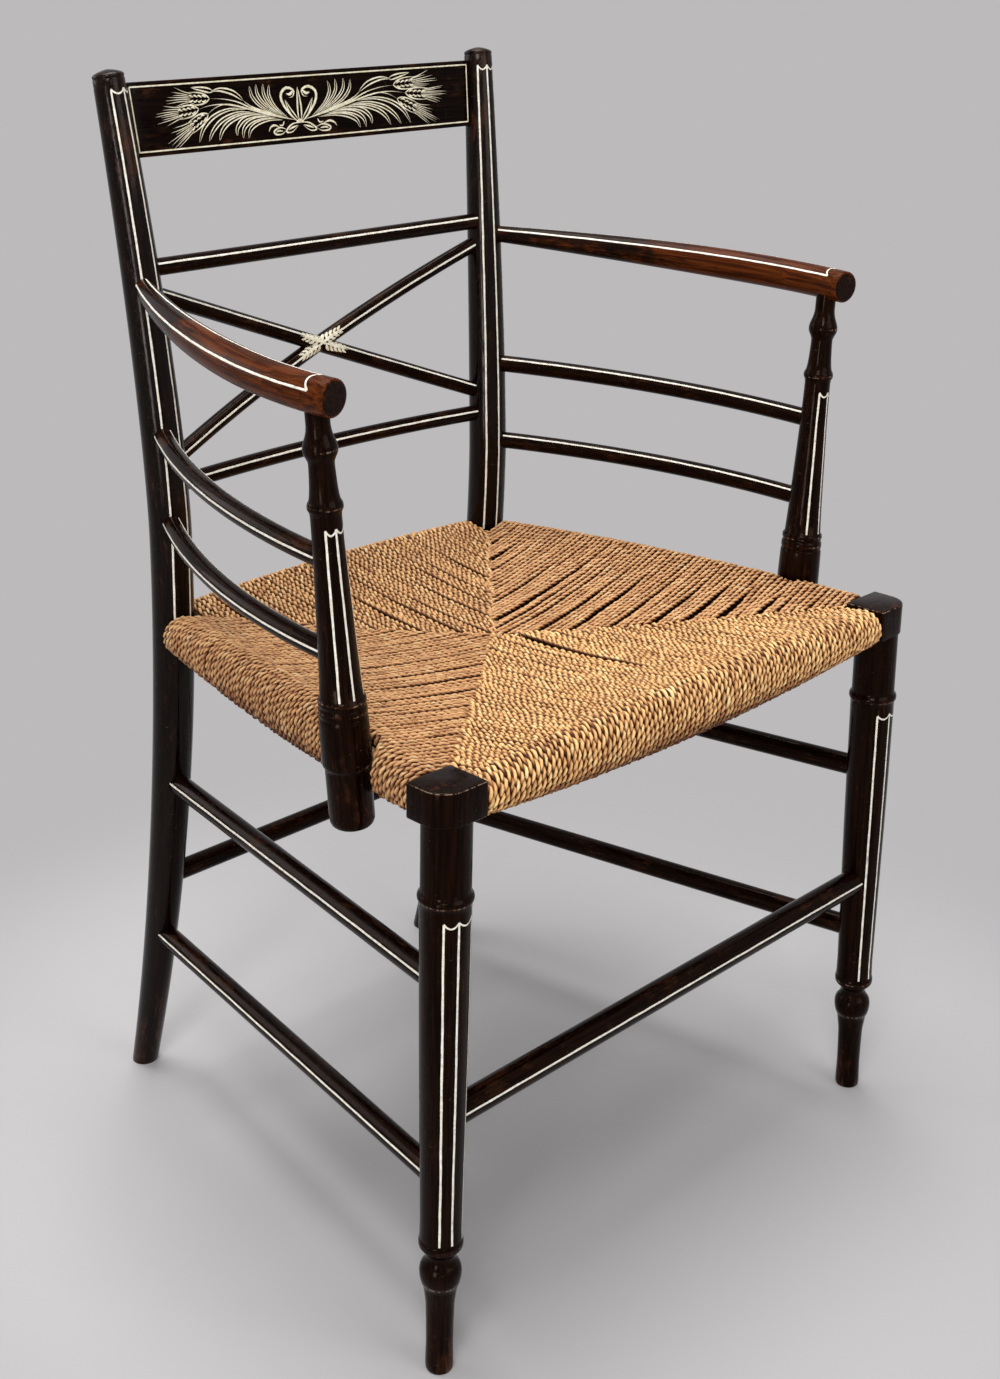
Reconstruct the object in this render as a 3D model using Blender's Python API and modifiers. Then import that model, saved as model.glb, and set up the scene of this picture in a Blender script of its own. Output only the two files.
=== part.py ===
# Open armchair in ebonised beech: turned frame, X back, bowed arms and a rush seat.
# Metres, +Z up. The chair faces -Y, the origin is on the floor under the middle of its outline.
import math

import bmesh
import bpy
from mathutils import Matrix, Vector
from mathutils.geometry import interpolate_bezier

# Driving dimensions
HEIGHT = 0.840              # floor to the tops of the back posts
DEPTH = 0.472               # front of the rush to the back of the rear feet
FRONT_WIDTH = 0.4824        # between the axes of the front feet
SEAT_WIDTH_REAR = 0.3438    # between the axes of the back posts at the seat
SEAT_Z = 0.4165             # axes of the seat rails
ARM_Z = 0.6696              # axis of an arm at its front end

# Fits
CLEARANCE = 0.0003          # gap left between pieces that touch
TENON_STOP = 0.0040         # a rod's end stays this far from the axis of the piece it enters
RAIL_TENON_STOP = 0.0080    # seat rails meet at the corners, so they stop earlier
SOCKET_REACH = 0.0300       # a socket's drill reaches this far out, past the wall

# Back posts: upright at the bend above the seat, swept back below it and raked above it
POST_FOOT_R = 0.0108
POST_SEAT_R = 0.0162
POST_TOP_R = 0.0117
POST_BEND_ABOVE_SEAT = 0.0835
POST_FOOT_INWARD = 0.0043
POST_TOP_OUTWARD = 0.0151
POST_FOOT_SWEEP = 0.0765
POST_TOP_RAKE = 0.0306
POST_CAP_HEIGHT = 0.0060
LOWER_SWEEP = 1.85          # exponents of the sweep, the rake and the taper
UPPER_SWEEP = 1.45
UPPER_TAPER = 1.50

# Front legs and their corner blocks
LEG_LEAN = 0.0143           # inward lean per metre of height
LEG_R = 0.0165
BLOCK_WIDTH = 0.0390
BLOCK_DEPTH = 0.0340
BLOCK_ABOVE_RAIL = 0.0185
BLOCK_BELOW_RAIL = 0.0060
BLOCK_ROUND = 0.0175        # radius of the outer front edge
EDGE_EASE = 0.0012
LEG_RING_BELOW_BLOCK = 0.0535

# Seat
RAIL_R = 0.0115
RAIL_TENON_R = 0.0060
RUSH_OVERHANG = 0.0185      # a rail's axis to the outside of the rush
RUSH_ABOVE_RAIL = 0.0270
RUSH_BELOW_RAIL = 0.0235
RUSH_DISH = 0.0240          # the middle of the top is lower by this
RUSH_BELLY = 0.0060         # the middle of the underside is higher by this
RUSH_CORNER_DROP = 0.0085
RUSH_CORNER_LIFT = 0.0180
RUSH_ROLL = 0.0125          # radius of the rolled edge
RUSH_POST_GAP = 0.0015
RUSH_CELLS = 10

# Arms
ARM_RISE = 0.0174           # the rear end is higher by this
ARM_REAR_R = 0.0066
ARM_FRONT_R = 0.0123
ARM_SWELL = 0.80            # full thickness is reached at this share of the length
ARM_BULGE = 0.0193          # the bend lies outside the front end by this
ARM_BULGE_BACK = 0.1177     # and behind it by this
ARM_BULGE_RISE = 0.0048
ARM_NOSE = 0.0155           # the front end lies ahead of the support by this
ARM_STEPS = 14

# Arm supports
SUPPORT_BACK = 0.0830       # behind the front legs, at the seat
SUPPORT_OFF_RAIL = 0.0221   # outside the side rail's axis, at the seat
SUPPORT_LEAN_OUT = 0.0200   # from the seat to the arm
SUPPORT_LEAN_BACK = 0.0023
SUPPORT_NECK_R = 0.0077
SUPPORT_PLUG = 0.0097       # the neck goes this far into the arm
SUPPORT_BASE_R = 0.0166
SUPPORT_DROP = 0.0375       # the pendant ends this far below the rail's axis
SCREW_R = 0.0022
SCREW_HEAD_R = 0.0040
SCREW_HEAD_THICK = 0.0022
SCREW_SINK = 0.0012

# Spindles: heights above the seat rails, at the post and at the support
SPINDLE_R = 0.0071
SPINDLE_BOW = 0.0200
UPPER_SPINDLE_REAR = 0.1595
UPPER_SPINDLE_FRONT = 0.1458
LOWER_SPINDLE_REAR = 0.0919
LOWER_SPINDLE_FRONT = 0.0815

# Back
CREST_HEIGHT = 0.0538
CREST_BELOW_TOP = 0.0098
CREST_THICK = 0.0095
CREST_SETBACK = 0.0040      # behind the plane of the posts' axes
CREST_TENON_THICK = 0.0050
CREST_TENON_HEIGHT = 0.0360
CREST_TENON_SETBACK = 0.0015
CREST_TENON_LENGTH = 0.0300
CREST_TENON_STOP = 0.0035
BACK_RAIL_R = 0.0066
UPPER_BACK_RAIL_BELOW_TOP = 0.1425
LOWER_BACK_RAIL_ABOVE_SEAT = 0.1165
LOWER_BACK_RAIL_BOW = 0.0140
CROSS_R = 0.0063
CROSS_WEB = 0.0024          # wood left in a post between a rail's socket and a cross rod's
CROSS_BOW = 0.0180
BACK_STEPS = 10

# Stretchers: heights above the floor, the side ones at the post and at the front leg
STRETCHER_R = 0.0085
UPPER_STRETCHER_REAR_Z = 0.2866
UPPER_STRETCHER_FRONT_Z = 0.2924
LOWER_STRETCHER_REAR_Z = 0.1399
LOWER_STRETCHER_FRONT_Z = 0.1479
FRONT_STRETCHER_R = 0.0099
FRONT_STRETCHER_Z = 0.1949
REAR_STRETCHER_R = 0.0082
REAR_STRETCHER_Z = 0.1941

# Mesh fineness
ROD_SIDES = 12
POST_SIDES = 16
TURNED_STEPS = 18
DRILL_SIDES = 16
SPINDLE_STEPS = 8

EBONY = (0.020, 0.013, 0.010, 1.0)
WORN_BROWN = (0.090, 0.032, 0.014, 1.0)
RUSH_TAN = (0.520, 0.310, 0.140, 1.0)
STEEL = (0.350, 0.340, 0.320, 1.0)

# Places that follow from them
UP = Vector((0.0, 0.0, 1.0))
BACKWARD = Vector((0.0, 1.0, 0.0))
SIDES = (("left", -1), ("right", 1))
FRONT_Y = RUSH_OVERHANG - DEPTH / 2
POST_FOOT_Y = DEPTH / 2 - POST_FOOT_R
POST_SEAT_Y = POST_FOOT_Y - POST_FOOT_SWEEP
POST_SEAT_X = SEAT_WIDTH_REAR / 2
POST_BEND_Z = SEAT_Z + POST_BEND_ABOVE_SEAT
POST_RIM_Z = HEIGHT - POST_CAP_HEIGHT
BLOCK_TOP_Z = SEAT_Z + BLOCK_ABOVE_RAIL
BLOCK_BOTTOM_Z = SEAT_Z - BLOCK_BELOW_RAIL
ARM_REAR_Z = ARM_Z + ARM_RISE
SUPPORT_BOTTOM_Z = SEAT_Z - SUPPORT_DROP
SUPPORT_TOP_Z = ARM_Z - ARM_FRONT_R + SUPPORT_PLUG
UPPER_BACK_RAIL_Z = HEIGHT - UPPER_BACK_RAIL_BELOW_TOP
LOWER_BACK_RAIL_Z = SEAT_Z + LOWER_BACK_RAIL_ABOVE_SEAT
CROSS_GAP = BACK_RAIL_R + CROSS_R + CROSS_WEB

for old in list(bpy.data.objects):
    bpy.data.objects.remove(old, do_unlink=True)

chair = bpy.data.collections.new("armchair")
cutters = bpy.data.collections.new("cutters")
bpy.context.scene.collection.children.link(chair)
bpy.context.scene.collection.children.link(cutters)


# Helpers

def finish(name, colour, roughness, metallic):
    """A Principled material of one piece."""
    material = bpy.data.materials.new(name)
    material.use_nodes = True
    shader = material.node_tree.nodes["Principled BSDF"]
    shader.inputs["Base Color"].default_value = colour
    shader.inputs["Roughness"].default_value = roughness
    shader.inputs["Metallic"].default_value = metallic
    return material


def piece(name, mesh, colour=EBONY, roughness=0.35, metallic=0.0):
    """A named piece of the chair, made from a mesh."""
    made = bpy.data.objects.new(name, mesh)
    chair.objects.link(made)
    mesh.materials.clear()
    mesh.materials.append(finish(name, colour, roughness, metallic))
    mesh.shade_smooth()
    mesh.set_sharp_from_angle(angle=math.radians(40))
    return made


def cutter(name, mesh):
    """A hidden shape that Booleans use."""
    made = bpy.data.objects.new(name, mesh)
    cutters.objects.link(made)
    made.hide_render = True
    made.display_type = "WIRE"
    return made


def boolean(target, tool, operation="DIFFERENCE"):
    step = target.modifiers.new(tool.name, "BOOLEAN")
    step.object = tool
    step.operation = operation
    step.solver = "EXACT"


def tube_mesh(name, points, radii, sides):
    """A round tube through points, with a radius at each, as one closed mesh."""
    data = bpy.data.curves.new(name, "CURVE")
    data.dimensions = "3D"
    data.bevel_depth = 1.0
    data.bevel_resolution = (sides - 4) // 2
    data.use_fill_caps = True
    spline = data.splines.new("POLY")
    spline.points.add(len(points) - 1)
    for spot, place, radius in zip(spline.points, points, radii):
        spot.co = (*place, 1.0)
        spot.radius = radius
    guide = bpy.data.objects.new(name, data)
    bpy.context.scene.collection.objects.link(guide)
    evaluated = guide.evaluated_get(bpy.context.evaluated_depsgraph_get())
    mesh = bpy.data.meshes.new_from_object(evaluated)
    bpy.data.objects.remove(guide, do_unlink=True)
    shape = bmesh.new()
    shape.from_mesh(mesh)
    bmesh.ops.remove_doubles(shape, verts=shape.verts, dist=0.00001)
    bmesh.ops.recalc_face_normals(shape, faces=shape.faces)
    shape.to_mesh(mesh)
    shape.free()
    return mesh


def box_mesh(name, size):
    shape = bmesh.new()
    bmesh.ops.create_cube(shape, size=1.0)
    bmesh.ops.scale(shape, vec=size, verts=shape.verts)
    mesh = bpy.data.meshes.new(name)
    shape.to_mesh(mesh)
    shape.free()
    return mesh


def drill(target, tip, toward, radius):
    """A round socket in the target for a rod that ends at tip and comes from the side of toward."""
    axis = (toward - tip).normalized()
    inner = tip - axis * CLEARANCE
    outer = tip + axis * SOCKET_REACH
    shape = bmesh.new()
    bmesh.ops.create_cone(
        shape, cap_ends=True, segments=DRILL_SIDES, depth=(outer - inner).length,
        radius1=radius + CLEARANCE, radius2=radius + CLEARANCE)
    mesh = bpy.data.meshes.new(f"{target.name}_socket")
    shape.to_mesh(mesh)
    shape.free()
    bit = cutter(mesh.name, mesh)
    turn = axis.to_track_quat("Z", "Y").to_matrix().to_4x4()
    bit.matrix_world = Matrix.Translation((inner + outer) / 2) @ turn
    boolean(target, bit)


def straight_path(start, end):
    """A rod between two axes, its ends short of them."""
    along = (end - start).normalized()
    return [start + along * TENON_STOP, end - along * TENON_STOP]


def bowed_path(start, end, bow, steps):
    """A rod between two axes, bowed by a vector at mid length, its ends short of the axes."""
    third = (end - start) / 3
    lift = bow * 4 / 3
    path = interpolate_bezier(start, start + third + lift, end - third + lift, end, steps + 1)
    path[0] = start + (path[1] - start).normalized() * TENON_STOP
    path[-1] = end + (path[-2] - end).normalized() * TENON_STOP
    return path


def rod(name, path, radius, hosts):
    """A round rod along a path, socketed into a host at each end."""
    made = piece(name, tube_mesh(name, path, [radius] * len(path), ROD_SIDES))
    drill(hosts[0], path[0], path[1], radius)
    drill(hosts[1], path[-1], path[-2], radius)
    return made


def turned(name, profile, axis_at):
    """A turned piece from (height, radius) pairs, top to bottom, on a straight axis."""
    foot, head = axis_at(0.0), axis_at(1.0)
    axis = head - foot
    rim = [(profile[0][0], 0.0), *profile, (profile[-1][0], 0.0)]
    corners = [(radius, 0.0, height * axis.length) for height, radius in rim]
    edges = [(i, i + 1) for i in range(len(corners) - 1)]
    mesh = bpy.data.meshes.new(name)
    mesh.from_pydata(corners, edges, [])
    made = piece(name, mesh)
    spin = made.modifiers.new("turning", "SCREW")
    spin.steps = TURNED_STEPS
    spin.render_steps = TURNED_STEPS
    spin.use_merge_vertices = True
    spin.merge_threshold = 0.0001
    made.location = foot
    made.rotation_mode = "QUATERNION"
    made.rotation_quaternion = UP.rotation_difference(axis)
    return made


# Axes of the uprights, at a height

def post_at(side, z):
    if z < POST_BEND_Z:
        share = (POST_BEND_Z - z) / POST_BEND_Z
        x = POST_SEAT_X - POST_FOOT_INWARD * share
        y = POST_SEAT_Y + POST_FOOT_SWEEP * share ** LOWER_SWEEP
    else:
        share = ((z - POST_BEND_Z) / (POST_RIM_Z - POST_BEND_Z)) ** UPPER_SWEEP
        x = POST_SEAT_X + POST_TOP_OUTWARD * share
        y = POST_SEAT_Y + POST_TOP_RAKE * share
    return Vector((side * x, y, z))


def post_radius(z):
    if z < POST_BEND_Z:
        share = math.sin(math.pi / 2 * max(0.0, min(1.0, z / SEAT_Z)))
        return POST_FOOT_R + (POST_SEAT_R - POST_FOOT_R) * share
    share = ((z - POST_BEND_Z) / (POST_RIM_Z - POST_BEND_Z)) ** UPPER_TAPER
    return POST_SEAT_R + (POST_TOP_R - POST_SEAT_R) * share


def leg_at(side, z):
    return Vector((side * (FRONT_WIDTH / 2 - LEG_LEAN * z), FRONT_Y, z))


RAIL_ENDS = {
    "front": (leg_at(-1, SEAT_Z), leg_at(1, SEAT_Z)), "rear": (post_at(-1, SEAT_Z), post_at(1, SEAT_Z)),
    "left": (leg_at(-1, SEAT_Z), post_at(-1, SEAT_Z)), "right": (leg_at(1, SEAT_Z), post_at(1, SEAT_Z))}


def support_at(side, z):
    """The arm support's axis: outside the side rail at the seat, leaning out up to the arm."""
    leg, post = RAIL_ENDS["right"]
    along = (post - leg).normalized()
    share = (z - SEAT_Z) / (ARM_Z - SEAT_Z)
    x = leg.x + along.x / along.y * SUPPORT_BACK + SUPPORT_OFF_RAIL / along.y + SUPPORT_LEAN_OUT * share
    return Vector((side * x, FRONT_Y + SUPPORT_BACK + SUPPORT_LEAN_BACK * share, z))


# Floor: everything below it is cut off, so the feet are flat

floor_size = Vector((2 * FRONT_WIDTH, 2 * DEPTH, 0.05))
floor_cut = cutter("floor_cut", box_mesh("floor_cut", floor_size))
floor_cut.location = -UP * floor_size.z / 2


# Back posts

POST_RINGS = 16
POST_UNDERCUT = 0.012       # the post runs this far below the floor before it is cut
CAP_RINGS = ((-0.80, 1.0), (0.20, 1.0), (0.42, 0.95), (0.60, 0.82), (0.84, 0.50), (1.0, 0.12))


def post_path(side, grow=0.0):
    """Axis points and radii of a post, with its low domed cap given in cap heights and rim radii."""
    shoulder = POST_RIM_Z - 1.4 * POST_CAP_HEIGHT
    heights = [-POST_UNDERCUT] + [shoulder * i / (POST_RINGS - 1) for i in range(POST_RINGS)]
    points = [post_at(side, z) for z in heights]
    radii = [post_radius(z) + grow for z in heights]
    for rise, share in CAP_RINGS:
        points.append(post_at(side, POST_RIM_Z + rise * POST_CAP_HEIGHT))
        radii.append(POST_TOP_R * share + grow)
    return points, radii


posts = {}
for word, side in SIDES:
    name = f"{word}_back_post"
    posts[word] = piece(name, tube_mesh(name, *post_path(side), POST_SIDES))
    boolean(posts[word], floor_cut)


# Front legs: turned below, square at the corner block. Heights in the foot are from the floor

ring_z = BLOCK_BOTTOM_Z - LEG_RING_BELOW_BLOCK
LEG_PROFILE = (
    (SEAT_Z + BLOCK_ABOVE_RAIL / 2, LEG_R), (ring_z + 0.0055, LEG_R), (ring_z + 0.0035, LEG_R + 0.0003),
    (ring_z + 0.0020, LEG_R + 0.0015), (ring_z, LEG_R + 0.0019), (ring_z - 0.0020, LEG_R + 0.0015),
    (ring_z - 0.0035, LEG_R + 0.0007), (ring_z * 0.81, LEG_R), (ring_z * 0.56, 0.0154), (0.1200, 0.0143),
    (0.1060, 0.0146), (0.1035, 0.0150), (0.0995, 0.0150), (0.0970, 0.0136), (0.0940, 0.0108),
    (0.0905, 0.0100), (0.0875, 0.0108), (0.0840, 0.0132), (0.0793, 0.0144), (0.0760, 0.0143),
    (0.0697, 0.0127), (0.0610, 0.0109), (0.0520, 0.0099), (0.0220, 0.0093), (0.0080, 0.0096),
    (0.0015, 0.0094), (-0.0010, 0.0085))


def block_mesh(name, side):
    """The corner block: a cube with its outer front edge rounded and its level edges eased."""
    shape = bmesh.new()
    bmesh.ops.create_cube(shape, size=1.0)
    bmesh.ops.scale(shape, vec=(BLOCK_WIDTH, BLOCK_DEPTH, BLOCK_TOP_Z - BLOCK_BOTTOM_Z), verts=shape.verts)
    outer = [edge for edge in shape.edges if all(v.co.x * side > 0 > v.co.y for v in edge.verts)]
    bmesh.ops.bevel(shape, geom=outer, offset=BLOCK_ROUND, segments=5, profile=0.5, affect="EDGES")
    level = [edge for edge in shape.edges if abs(edge.verts[0].co.z - edge.verts[1].co.z) < EDGE_EASE]
    bmesh.ops.bevel(shape, geom=level, offset=EDGE_EASE, segments=1, profile=0.5, affect="EDGES")
    mesh = bpy.data.meshes.new(name)
    shape.to_mesh(mesh)
    shape.free()
    return mesh


legs = {}
for word, side in SIDES:
    leg = turned(f"{word}_front_leg", LEG_PROFILE, lambda z, side=side: leg_at(side, z))
    block = cutter(f"{word}_corner_block", block_mesh(f"{word}_corner_block", side))
    block.location = leg_at(side, (BLOCK_TOP_Z + BLOCK_BOTTOM_Z) / 2)
    boolean(leg, block, "UNION")
    boolean(leg, floor_cut)
    legs[word] = leg


# Seat rails: round, with thinner tenons behind their shoulders

def seat_rail(word, hosts, shoulders):
    start, end = RAIL_ENDS[word]
    along = (end - start).normalized()
    step = along * CLEARANCE
    path = [
        start + along * RAIL_TENON_STOP, start + along * shoulders[0], start + along * shoulders[0] + step,
        end - along * shoulders[1] - step, end - along * shoulders[1], end - along * RAIL_TENON_STOP]
    radii = [RAIL_TENON_R, RAIL_TENON_R, RAIL_R, RAIL_R, RAIL_TENON_R, RAIL_TENON_R]
    name = f"{word}_seat_rail"
    made = piece(name, tube_mesh(name, path, radii, POST_SIDES), WORN_BROWN, 0.6)
    drill(hosts[0], path[0], end, RAIL_TENON_R)
    drill(hosts[1], path[-1], start, RAIL_TENON_R)
    return made


at_post = POST_SEAT_R + CLEARANCE
at_block = BLOCK_WIDTH / 2 + CLEARANCE
rails = {
    "front": seat_rail("front", (legs["left"], legs["right"]), (at_block, at_block)),
    "rear": seat_rail("rear", (posts["left"], posts["right"]), (at_post, at_post))}
for word, side in SIDES:
    start, end = RAIL_ENDS[word]
    skew = abs(end.x - start.x) / (end.y - start.y)
    behind_block = BLOCK_DEPTH / 2 + CLEARANCE + RAIL_R * skew
    rails[word] = seat_rail(word, (legs[word], posts[word]), (behind_block, at_post))


# Stretchers

SIDE_STRETCHERS = (
    ("upper", UPPER_STRETCHER_REAR_Z, UPPER_STRETCHER_FRONT_Z),
    ("lower", LOWER_STRETCHER_REAR_Z, LOWER_STRETCHER_FRONT_Z))
for word, side in SIDES:
    for level, rear_z, front_z in SIDE_STRETCHERS:
        path = straight_path(post_at(side, rear_z), leg_at(side, front_z))
        rod(f"{word}_{level}_stretcher", path, STRETCHER_R, (posts[word], legs[word]))
path = straight_path(leg_at(-1, FRONT_STRETCHER_Z), leg_at(1, FRONT_STRETCHER_Z))
rod("front_stretcher", path, FRONT_STRETCHER_R, (legs["left"], legs["right"]))
path = straight_path(post_at(-1, REAR_STRETCHER_Z), post_at(1, REAR_STRETCHER_Z))
rod("rear_stretcher", path, REAR_STRETCHER_R, (posts["left"], posts["right"]))


# Arms: a bowed rod that swells towards its flat front end

def arm_path(side):
    rear = post_at(side, ARM_REAR_Z)
    seat = support_at(side, ARM_Z)
    front = seat - BACKWARD * ARM_NOSE
    bend = front + Vector((side * ARM_BULGE, ARM_BULGE_BACK, ARM_BULGE_RISE))
    path = interpolate_bezier(rear, rear.lerp(bend, 0.1), bend, front, ARM_STEPS + 1)
    tenon = rear + (path[2] - rear).normalized() * TENON_STOP
    path = [tenon] + path[2:]
    nose = (path[-1] - path[-2]).normalized() * EDGE_EASE
    return path + [path[-1] + nose]


def arm_radii(count):
    """Thin through the tenon, then swelling smoothly, with an eased front edge."""
    radii = []
    for i in range(count - 1):
        share = min(1.0, max(0, i - 1) / (count - 3) / ARM_SWELL)
        radii.append(ARM_REAR_R + (ARM_FRONT_R - ARM_REAR_R) * (3 - 2 * share) * share ** 2)
    return radii + [ARM_FRONT_R - EDGE_EASE]


arms = {}
for word, side in SIDES:
    name = f"{word}_arm"
    path = arm_path(side)
    arms[word] = piece(name, tube_mesh(name, path, arm_radii(len(path)), POST_SIDES), WORN_BROWN, 0.3)
    drill(posts[word], path[0], path[1], ARM_REAR_R)


# Arm supports: turned, plugged into the arm, saddled on the seat rail and screwed to it

neck_z = ARM_Z - ARM_FRONT_R
base_z = SEAT_Z + 0.0395
SUPPORT_PROFILE = (
    (SUPPORT_TOP_Z, SUPPORT_NECK_R), (neck_z - 0.0073, SUPPORT_NECK_R), (neck_z - 0.0133, 0.0088),
    (neck_z - 0.0178, 0.0104), (neck_z - 0.0213, 0.0112), (neck_z - 0.0248, 0.0108),
    (neck_z - 0.0283, 0.0091), (neck_z - 0.0308, 0.0083), (neck_z - 0.0393, 0.0085),
    (neck_z - 0.0513, 0.0094), (neck_z - 0.0553, 0.0104), (neck_z - 0.0573, 0.0114),
    (neck_z - 0.0598, 0.0115), (neck_z - 0.0618, 0.0104), (neck_z - 0.0653, 0.0100),
    (neck_z - 0.0973, 0.0106), (base_z + 0.0440, 0.0128), (base_z + 0.0150, 0.0143),
    (base_z + 0.0135, 0.0156), (base_z + 0.0105, 0.0158), (base_z + 0.0090, 0.0151),
    (base_z + 0.0075, 0.0158), (base_z + 0.0035, 0.0160), (base_z + 0.0020, 0.0156), (base_z, 0.0161),
    (SEAT_Z + 0.0075, SUPPORT_BASE_R), (SEAT_Z + 0.0025, 0.0151), (SUPPORT_BOTTOM_Z + 0.0050, 0.0150),
    (SUPPORT_BOTTOM_Z + 0.0015, 0.0138), (SUPPORT_BOTTOM_Z, 0.0115))


SPINDLES = (
    ("upper", UPPER_SPINDLE_REAR, UPPER_SPINDLE_FRONT), ("lower", LOWER_SPINDLE_REAR, LOWER_SPINDLE_FRONT))


def add_screw(word, side, support):
    """A wood screw square to the rail, its head sunk in the rail's inner side."""
    start, end = RAIL_ENDS[word]
    along = (end - start).normalized()
    hub = support_at(side, SEAT_Z)
    on_rail = start + along * (hub - start).dot(along)
    outward = (hub - on_rail).normalized()
    head = on_rail - outward * (RAIL_R - SCREW_SINK)
    neck = head + outward * SCREW_HEAD_THICK
    point = hub - outward * TENON_STOP
    name = f"{word}_arm_support_screw"
    piece(name, tube_mesh(
        name, [head, neck, neck + outward * CLEARANCE / 2, point],
        [SCREW_HEAD_R, SCREW_HEAD_R, SCREW_R, SCREW_R], ROD_SIDES), STEEL, 0.4, 1.0)
    drill(rails[word], neck, head, SCREW_HEAD_R)
    drill(rails[word], neck, hub, SCREW_R)
    drill(support, point, head, SCREW_R)


for word, side in SIDES:
    support = turned(f"{word}_arm_support", SUPPORT_PROFILE, lambda z, side=side: support_at(side, z))
    drill(arms[word], support_at(side, SUPPORT_TOP_Z), support_at(side, SEAT_Z), SUPPORT_NECK_R)
    saddle = cutter(f"{word}_saddle", tube_mesh(
        f"{word}_saddle", RAIL_ENDS[word], [RAIL_R + CLEARANCE] * 2, 2 * ROD_SIDES))
    boolean(support, saddle)
    add_screw(word, side, support)
    for level, rear, front in SPINDLES:
        bow = Vector((side * SPINDLE_BOW, 0.0, 0.0))
        path = bowed_path(post_at(side, SEAT_Z + rear), support_at(side, SEAT_Z + front), bow, SPINDLE_STEPS)
        rod(f"{word}_{level}_spindle", path, SPINDLE_R, (posts[word], support))


# Back: two rails and the X, the lower rail and the X bowed backwards

hosts = (posts["left"], posts["right"])
path = straight_path(post_at(-1, UPPER_BACK_RAIL_Z), post_at(1, UPPER_BACK_RAIL_Z))
rod("upper_back_rail", path, BACK_RAIL_R, hosts)
rail_bow = BACKWARD * LOWER_BACK_RAIL_BOW
path = bowed_path(post_at(-1, LOWER_BACK_RAIL_Z), post_at(1, LOWER_BACK_RAIL_Z), rail_bow, BACK_STEPS)
rod("lower_back_rail", path, BACK_RAIL_R, hosts)

cross_low, cross_high = LOWER_BACK_RAIL_Z + CROSS_GAP, UPPER_BACK_RAIL_Z - CROSS_GAP
crossing = {}
for word, left_z, right_z in (("rising", cross_low, cross_high), ("falling", cross_high, cross_low)):
    path = bowed_path(post_at(-1, left_z), post_at(1, right_z), BACKWARD * CROSS_BOW, BACK_STEPS)
    crossing[word] = (rod(f"{word}_cross_rod", path, CROSS_R, hosts), path)

# Half lap: the rising rod keeps its front half where they cross, the falling rod its rear half
middle = BACK_STEPS // 2
before, after = crossing["rising"][1][middle - 1:middle + 1]
meeting = before.lerp(after, before.x / (before.x - after.x))
runs = {word: path[middle + 1] - path[middle - 1] for word, (made, path) in crossing.items()}
lap_depth = 2 * CROSS_R
lap_width = 2 * CROSS_R + 6 * CLEARANCE
lap_length = 2 * lap_width / math.sin(runs["rising"].angle(runs["falling"]))
for word, other, facing in (("rising", "falling", 1), ("falling", "rising", -1)):
    lap = cutter(f"{word}_lap", box_mesh(f"{word}_lap", (lap_length, lap_depth, lap_width)))
    lap.rotation_euler = (0.0, -math.atan2(runs[other].z, runs[other].x), 0.0)
    lap.location = meeting + BACKWARD * facing * (lap_depth - CLEARANCE) / 2
    boolean(crossing[word][0], lap)


# Crest rail: a flat tablet coped to the posts, with a tenon at each end

crest_z = HEIGHT - CREST_BELOW_TOP - CREST_HEIGHT / 2
crest_end = post_at(1, crest_z)
below, above = post_at(1, crest_z - CREST_HEIGHT / 2), post_at(1, crest_z + CREST_HEIGHT / 2)
rake = math.atan2(above.y - below.y, above.z - below.z)
tilt = Matrix.Rotation(-rake, 3, "X")


def on_crest(x, setback):
    """A place at the tablet's middle height, behind the posts' plane by a setback."""
    return Vector((x, crest_end.y, crest_z)) + tilt @ BACKWARD * setback


crest = piece("crest_rail", box_mesh("crest_rail", (2 * crest_end.x, CREST_THICK, CREST_HEIGHT)))
crest.location = on_crest(0.0, CREST_SETBACK)
crest.rotation_euler = (-rake, 0.0, 0.0)
ease = crest.modifiers.new("eased_edges", "BEVEL")
ease.width = EDGE_EASE
ease.segments = 2
for word, side in SIDES:
    name = f"{word}_crest_cope"
    cope = cutter(name, tube_mesh(name, *post_path(side, CLEARANCE), POST_SIDES))
    boolean(crest, cope)
for word, side in SIDES:
    reach = crest_end.x - CREST_TENON_STOP
    centre = on_crest(side * (reach - CREST_TENON_LENGTH / 2), CREST_TENON_SETBACK)
    for made, operation, grow in ((crest, "UNION", 0.0), (posts[word], "DIFFERENCE", 2 * CLEARANCE)):
        size = (CREST_TENON_LENGTH + grow, CREST_TENON_THICK + grow, CREST_TENON_HEIGHT + grow)
        tenon = cutter(f"{word}_crest_tenon", box_mesh(f"{word}_crest_tenon", size))
        tenon.location = centre
        tenon.rotation_euler = (-rake, 0.0, 0.0)
        boolean(made, tenon, operation)


# Rush seat: one padded form, dished, its edges rolled over the rails

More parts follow.
